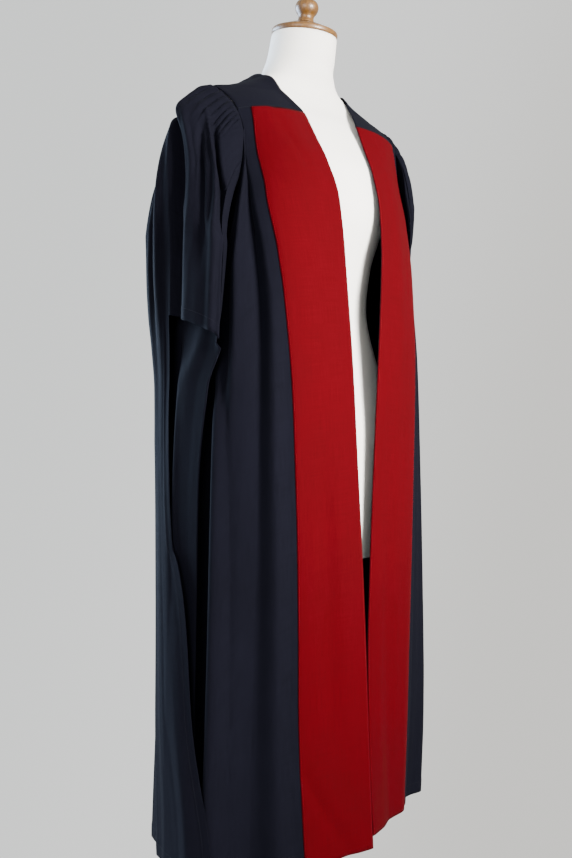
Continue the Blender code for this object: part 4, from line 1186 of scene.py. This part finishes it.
def make_sleeves():
    for side in (RIGHT, LEFT):
        label = LABEL[side]
        outward = -side
        (top, _, top_height), (low, low_row, low_height) = sleeve_surface(side)
        start = top.shape[1] - low.shape[1]
        front = np.arange(top.shape[1]) < start
        whole_normals = grid_normals(np.concatenate([top[:, start:], low[1:]])) * outward
        top_normals = grid_normals(top) * outward
        top_normals[:, start:] = whole_normals[: len(top)]
        low_normals = whole_normals[len(top) - 1 :]
        low_from = down_lengths(low)
        from_edge = across_lengths(low)
        tail_hem = turned_edge(np.minimum(from_edge, from_edge[:, -1:] - from_edge), TAIL_HEM)
        low_rise = np.maximum(hem(low_from), tail_hem * ease((low_row - 8.0) / 0.3))
        top_from = down_lengths(top)
        top_rise = turned_edge(top_from[-1:] - top_from, ARM_HEM) * front + seam_dip(top_from)
        top_out = lifted(top, top_normals, top_height + top_rise - SHELL)
        low_out = lifted(low, low_normals, low_height + low_rise - SHELL)
        low_out[0] = top_out[-1, start:]
        grain, low_grain = arc_lengths(top), arc_lengths(low)
        low_grain = low_grain + (grain[-1, start:] - low_grain[0])[None, :]
        cloth = cloth_piece(
            f"sleeve_cloth_{label}", [(top_out, grain), (low_out, low_grain)],
            outward, SHELL, BLACK, "black_cloth", f"sleeve_{label}",
        )
        outer_low = low_out + low_normals * SHELL
        outer_top = (top_out + top_normals * SHELL)[:, front]
        tail, lip = slice(3, -3), top_from[-1, front] - ARM_HEM + SLEEVE_INSET
        runs = [
            hem_run(outer_low, low_normals, low_from),
            run_down(outer_low[tail], low_normals[tail], from_edge[tail], TAIL_HEM - SLEEVE_INSET),
            run_at(outer_top, top_normals[:, front], top_from[:, front], lip),
        ]
        thread = stitches(f"sleeve_stitches_{label}", runs, BLACK_THREAD, "black_cloth")


def make_form():
    """The smooth torso under its knitted cover."""
    inset, roll = 0.0006, 0.012  # below the solid's skin, and the radius of the lower rim
    low, high = FORM["z"][0], FORM["z"][-1]
    rim = low + roll * (1 - np.cos(np.linspace(0, np.pi / 2, 9)[:-1]))
    z = np.concatenate([rim, np.linspace(low + roll, high, 150)])
    turn = np.linspace(0, 2 * np.pi, 145)
    half, front, back, middle = [column(FORM, k, z)[:, None] for k in ("half", "front", "back", "middle")]
    y = middle + (np.where(np.sin(turn) < 0, front, back) - inset) * np.sin(turn)
    x = (half - inset) * np.cos(turn)
    tilt = math.tan(NECK_LEAN) * ease((z - NECK_BASE_Z) / (high - NECK_BASE_Z))[:, None]
    grid = np.stack([x, y, z[:, None] + (y - middle) * tilt], -1)
    grid[-1] = grid[-1] * (0.995, 0.995, 1)
    coords = np.stack([turn[None, :] * (half + back) / 2, z[:, None] + 0 * turn[None, :]], -1)
    points, faces, corner_grain = join_grids([(grid, coords)])
    faces, corner_grain = faces[:, ::-1], corner_grain[:, ::-1]
    edges = dict.fromkeys((p, q) for face in faces.tolist() for p, q in zip(face, face[1:] + face[:1]))
    caps, centres = [], []
    for end in (low, high):
        ring = [(p, q) for p, q in edges if (q, p) not in edges and abs(points[p, 2] - end) < 0.3]
        caps += [(q, p, len(points) + len(centres)) for p, q in ring]
        centres.append(points[[p for p, _ in ring]].mean(0))
    mesh = grain_mesh("form_cover", np.concatenate([points, centres]), faces, corner_grain, caps)
    put("form_cover", mesh, WHITE, "form_cover", "form_torso")


def rounded(profile, times=3):
    """Cuts the corners of a profile again and again, so that it runs as a turner would leave it."""
    points = [np.array(p, float) for p in profile]
    for _ in range(times):
        cut = [points[0]]
        for a, b in zip(points[:-1], points[1:]):
            cut += [a * 0.75 + b * 0.25, a * 0.25 + b * 0.75]
        points = cut + [points[-1]]
    return points


def turned(name, profile, material, slot, node, sides=96):
    """A turned piece, closed on its axis, from a profile run from top to bottom."""
    turns = [2 * math.pi * k / sides for k in range(sides)]
    rings = len(profile)
    points = [(0, 0, profile[0][1])]
    points += [(r * math.cos(a), r * math.sin(a), z) for r, z in profile for a in turns]
    points.append((0, 0, profile[-1][1]))
    faces = []
    for k in range(sides):
        n = (k + 1) % sides
        faces.append((0, 1 + k, 1 + n))
        for i in range(rings - 1):
            a = 1 + i * sides
            faces.append((a + k, a + sides + k, a + sides + n, a + n))
        last = 1 + (rings - 1) * sides
        faces.append((last + n, last + k, len(points) - 1))
    mesh = bpy.data.meshes.new(name)
    mesh.from_pydata(points, [], faces)
    mesh.shade_smooth()
    mesh.update()
    return put(name, mesh, material, slot, node)


def make_cap():
    r = CAP_RADIUS
    top = [(0.0004, 0.0220), (0.012, 0.0215), (0.026, 0.0185), (0.040, 0.0125), (r - 0.0042, 0.0092)]
    groove = [(r - 0.0036, 0.0080), (r - 0.0030, 0.0088)]
    rim = [(r - 0.0008, 0.0082), (r, 0.0060), (r, 0.0025), (r - 0.0010, 0.0004), (r - 0.0030, 0.0)]
    profile = rounded(top + groove + rim + [(0.0004, 0.0)])
    cap = turned("neck_cap_turned", profile, WOOD_CAP, "turned_wood", "neck_cap")
    cap.location = (0, CAP_Y, CAP_Z + SEAM)
    cap.rotation_euler = (NECK_LEAN, 0, 0)
    ball = [(0.0004, 0.0360), (0.0085, 0.0355), (0.0160, 0.0315), (0.0190, 0.0235), (0.0172, 0.0158)]
    neck = [(0.0130, 0.0110), (0.0120, 0.0080), (0.0121, 0.0050), (0.0135, 0.0016), (0.0136, 0.0)]
    neck += [(0.0004, 0.0)]
    knob = turned("neck_knob_turned", rounded(ball + neck), WOOD_CAP, "turned_wood", "neck_knob", 72)
    rise = 0.022 + SEAM * 0.2
    knob.location = (0, CAP_Y - math.sin(NECK_LEAN) * rise, cap.location.z + math.cos(NECK_LEAN) * rise)
    knob.rotation_euler = (NECK_LEAN, 0, 0)


def make_stand():
    top = FORM["z"][0]
    low = BASE_HEIGHT + SEAM * 0.2
    r = POLE_RADIUS
    pole = [(0.0004, top), (r, top), (r, top - 0.004), (r, low + 0.042), (r, low + 0.034)]
    flare = [(0.0012, 0.030), (0.0004, 0.026), (0.004, 0.015), (0.0095, 0.007)]
    flare += [(0.0108, 0.0045), (0.0110, 0.001), (0.0104, 0)]
    foot = [(r + wider, low + above) for wider, above in flare] + [(0.0004, low)]
    turned("stand_pole_turned", rounded(pole + foot), WOOD_POLE, "turned_wood", "stand_pole", 64)
    b, h = BASE_RADIUS, BASE_HEIGHT
    base = [(0.0004, h), (0.05, h), (b - 0.040, h), (b - 0.0215, h), (b - 0.0200, h - 0.0012)]
    base += [(b - 0.0185, h), (b - 0.012, h - 0.0004), (b - 0.004, h - 0.0040), (b, h - 0.0100)]
    base += [(b, 0.0040), (b - 0.003, 0.0), (b - 0.03, 0.0), (0.0004, 0.0)]
    turned("stand_base_turned", rounded(base), WOOD_BASE, "turned_wood", "stand_base", 128)


CAMERA_TURN = -40  # degrees round the form, from straight ahead
CAMERA_DISTANCE, CAMERA_HEIGHT, CAMERA_SHIFT = 1.50, 0.90, 0.0265  # metres, the last one to the left
FOCAL, PHOTO_HEIGHT = 952, 858  # pixels


def make_camera():
    turn = math.radians(CAMERA_TURN)
    back = np.array([math.sin(turn), -math.cos(turn), 0])
    right = np.array([math.cos(turn), math.sin(turn), 0])
    data = bpy.data.cameras.new("camera")
    data.sensor_width = 36.0
    data.lens = data.sensor_width * FOCAL / PHOTO_HEIGHT
    data.clip_start = 0.05
    camera = bpy.data.objects.new("camera", data)
    camera.location = back * CAMERA_DISTANCE - right * CAMERA_SHIFT + (0, 0, CAMERA_HEIGHT)
    camera.rotation_euler = (math.pi / 2, 0, turn)
    collection.objects.link(camera)
    bpy.context.scene.camera = camera
    return back, right


def area_light(name, place, height, target_height, size, energy, colour, spread=180):
    """A lamp at a place and height, turned to a height on the form's axis."""
    place, target = place + (0, 0, height), np.array([0, 0, target_height])
    data = bpy.data.lights.new(name, "AREA")
    data.shape = "RECTANGLE"
    data.size, data.size_y = size
    data.energy = energy
    data.color = colour
    data.spread = math.radians(spread)
    light = bpy.data.objects.new(name, data)
    light.location = place
    way = target - place
    flat = math.hypot(way[0], way[1])
    light.rotation_euler = (math.pi / 2 + math.atan2(way[2], flat), 0, math.atan2(-way[0], way[1]))
    collection.objects.link(light)


def make_light(back, right):
    """A warm lamp on the right, a weak one beside the camera, a cool window behind, and a grey room."""
    area_light("key", right * 1.75 + back * 1.75, 1.45, 1.06, (0.9, 0.9), 46, (1.0, 0.985, 0.96), 58)
    area_light("fill", back * 2.2 - right * 1.0, 1.55, 1.1, (1.4, 1.4), 42, (0.97, 0.98, 1.0))
    area_light("window", -right * 1.8 - back * 0.9, 1.3, 0.95, (1.2, 1.8), 190, (0.55, 0.74, 1.0))
    world = bpy.data.worlds.new("studio")
    bpy.context.scene.world = world
    world.use_nodes = True
    tree = world.node_tree
    background = tree.nodes["Background"]
    sideways = tree.nodes.new("ShaderNodeVectorMath")
    sideways.operation = "DOT_PRODUCT"
    sideways.inputs[1].default_value = (right[0], right[1], -0.25)
    tree.links.new(tree.nodes.new("ShaderNodeTexCoord").outputs["Generated"], sideways.inputs[0])
    ramp = tree.nodes.new("ShaderNodeValToRGB")
    spread = tree.nodes.new("ShaderNodeMapRange")
    spread.inputs["From Min"].default_value = -0.30
    spread.inputs["From Max"].default_value = 0.30
    tree.links.new(sideways.outputs["Value"], spread.inputs["Value"])
    tree.links.new(spread.outputs["Result"], ramp.inputs["Fac"])
    ramp.color_ramp.interpolation = "EASE"
    shades = ((0.0, (0.78, 0.80, 0.79)), (0.45, (0.86, 0.87, 0.86)), (1.0, (0.70, 0.69, 0.66)))
    tree.links.new(ramp.outputs["Color"], background.inputs["Color"])
    ramp.color_ramp.elements.new(0.5)
    for element, (place, shade) in zip(ramp.color_ramp.elements, shades):
        element.position = place
        element.color = (*shade, 1)
    background.inputs["Strength"].default_value = 1.35


def make_floor():
    mesh = bpy.data.meshes.new("floor")
    sides, radius = 96, 0.49
    turns = [2 * math.pi * k / sides for k in range(sides)]
    ring = [(radius * math.cos(a), radius * math.sin(a), 0) for a in turns]
    mesh.from_pydata(ring, [], [tuple(range(sides))])
    mesh.materials.append(floor_material())
    floor = bpy.data.objects.new("floor", mesh)
    floor.location.z = -0.0005
    collection.objects.link(floor)


make_yoke()
make_back()
make_fronts()
make_sleeves()
make_form()
make_cap()
make_stand()
back_way, right_way = make_camera()
make_light(back_way, right_way)
make_floor()

bpy.context.view_layer.update()
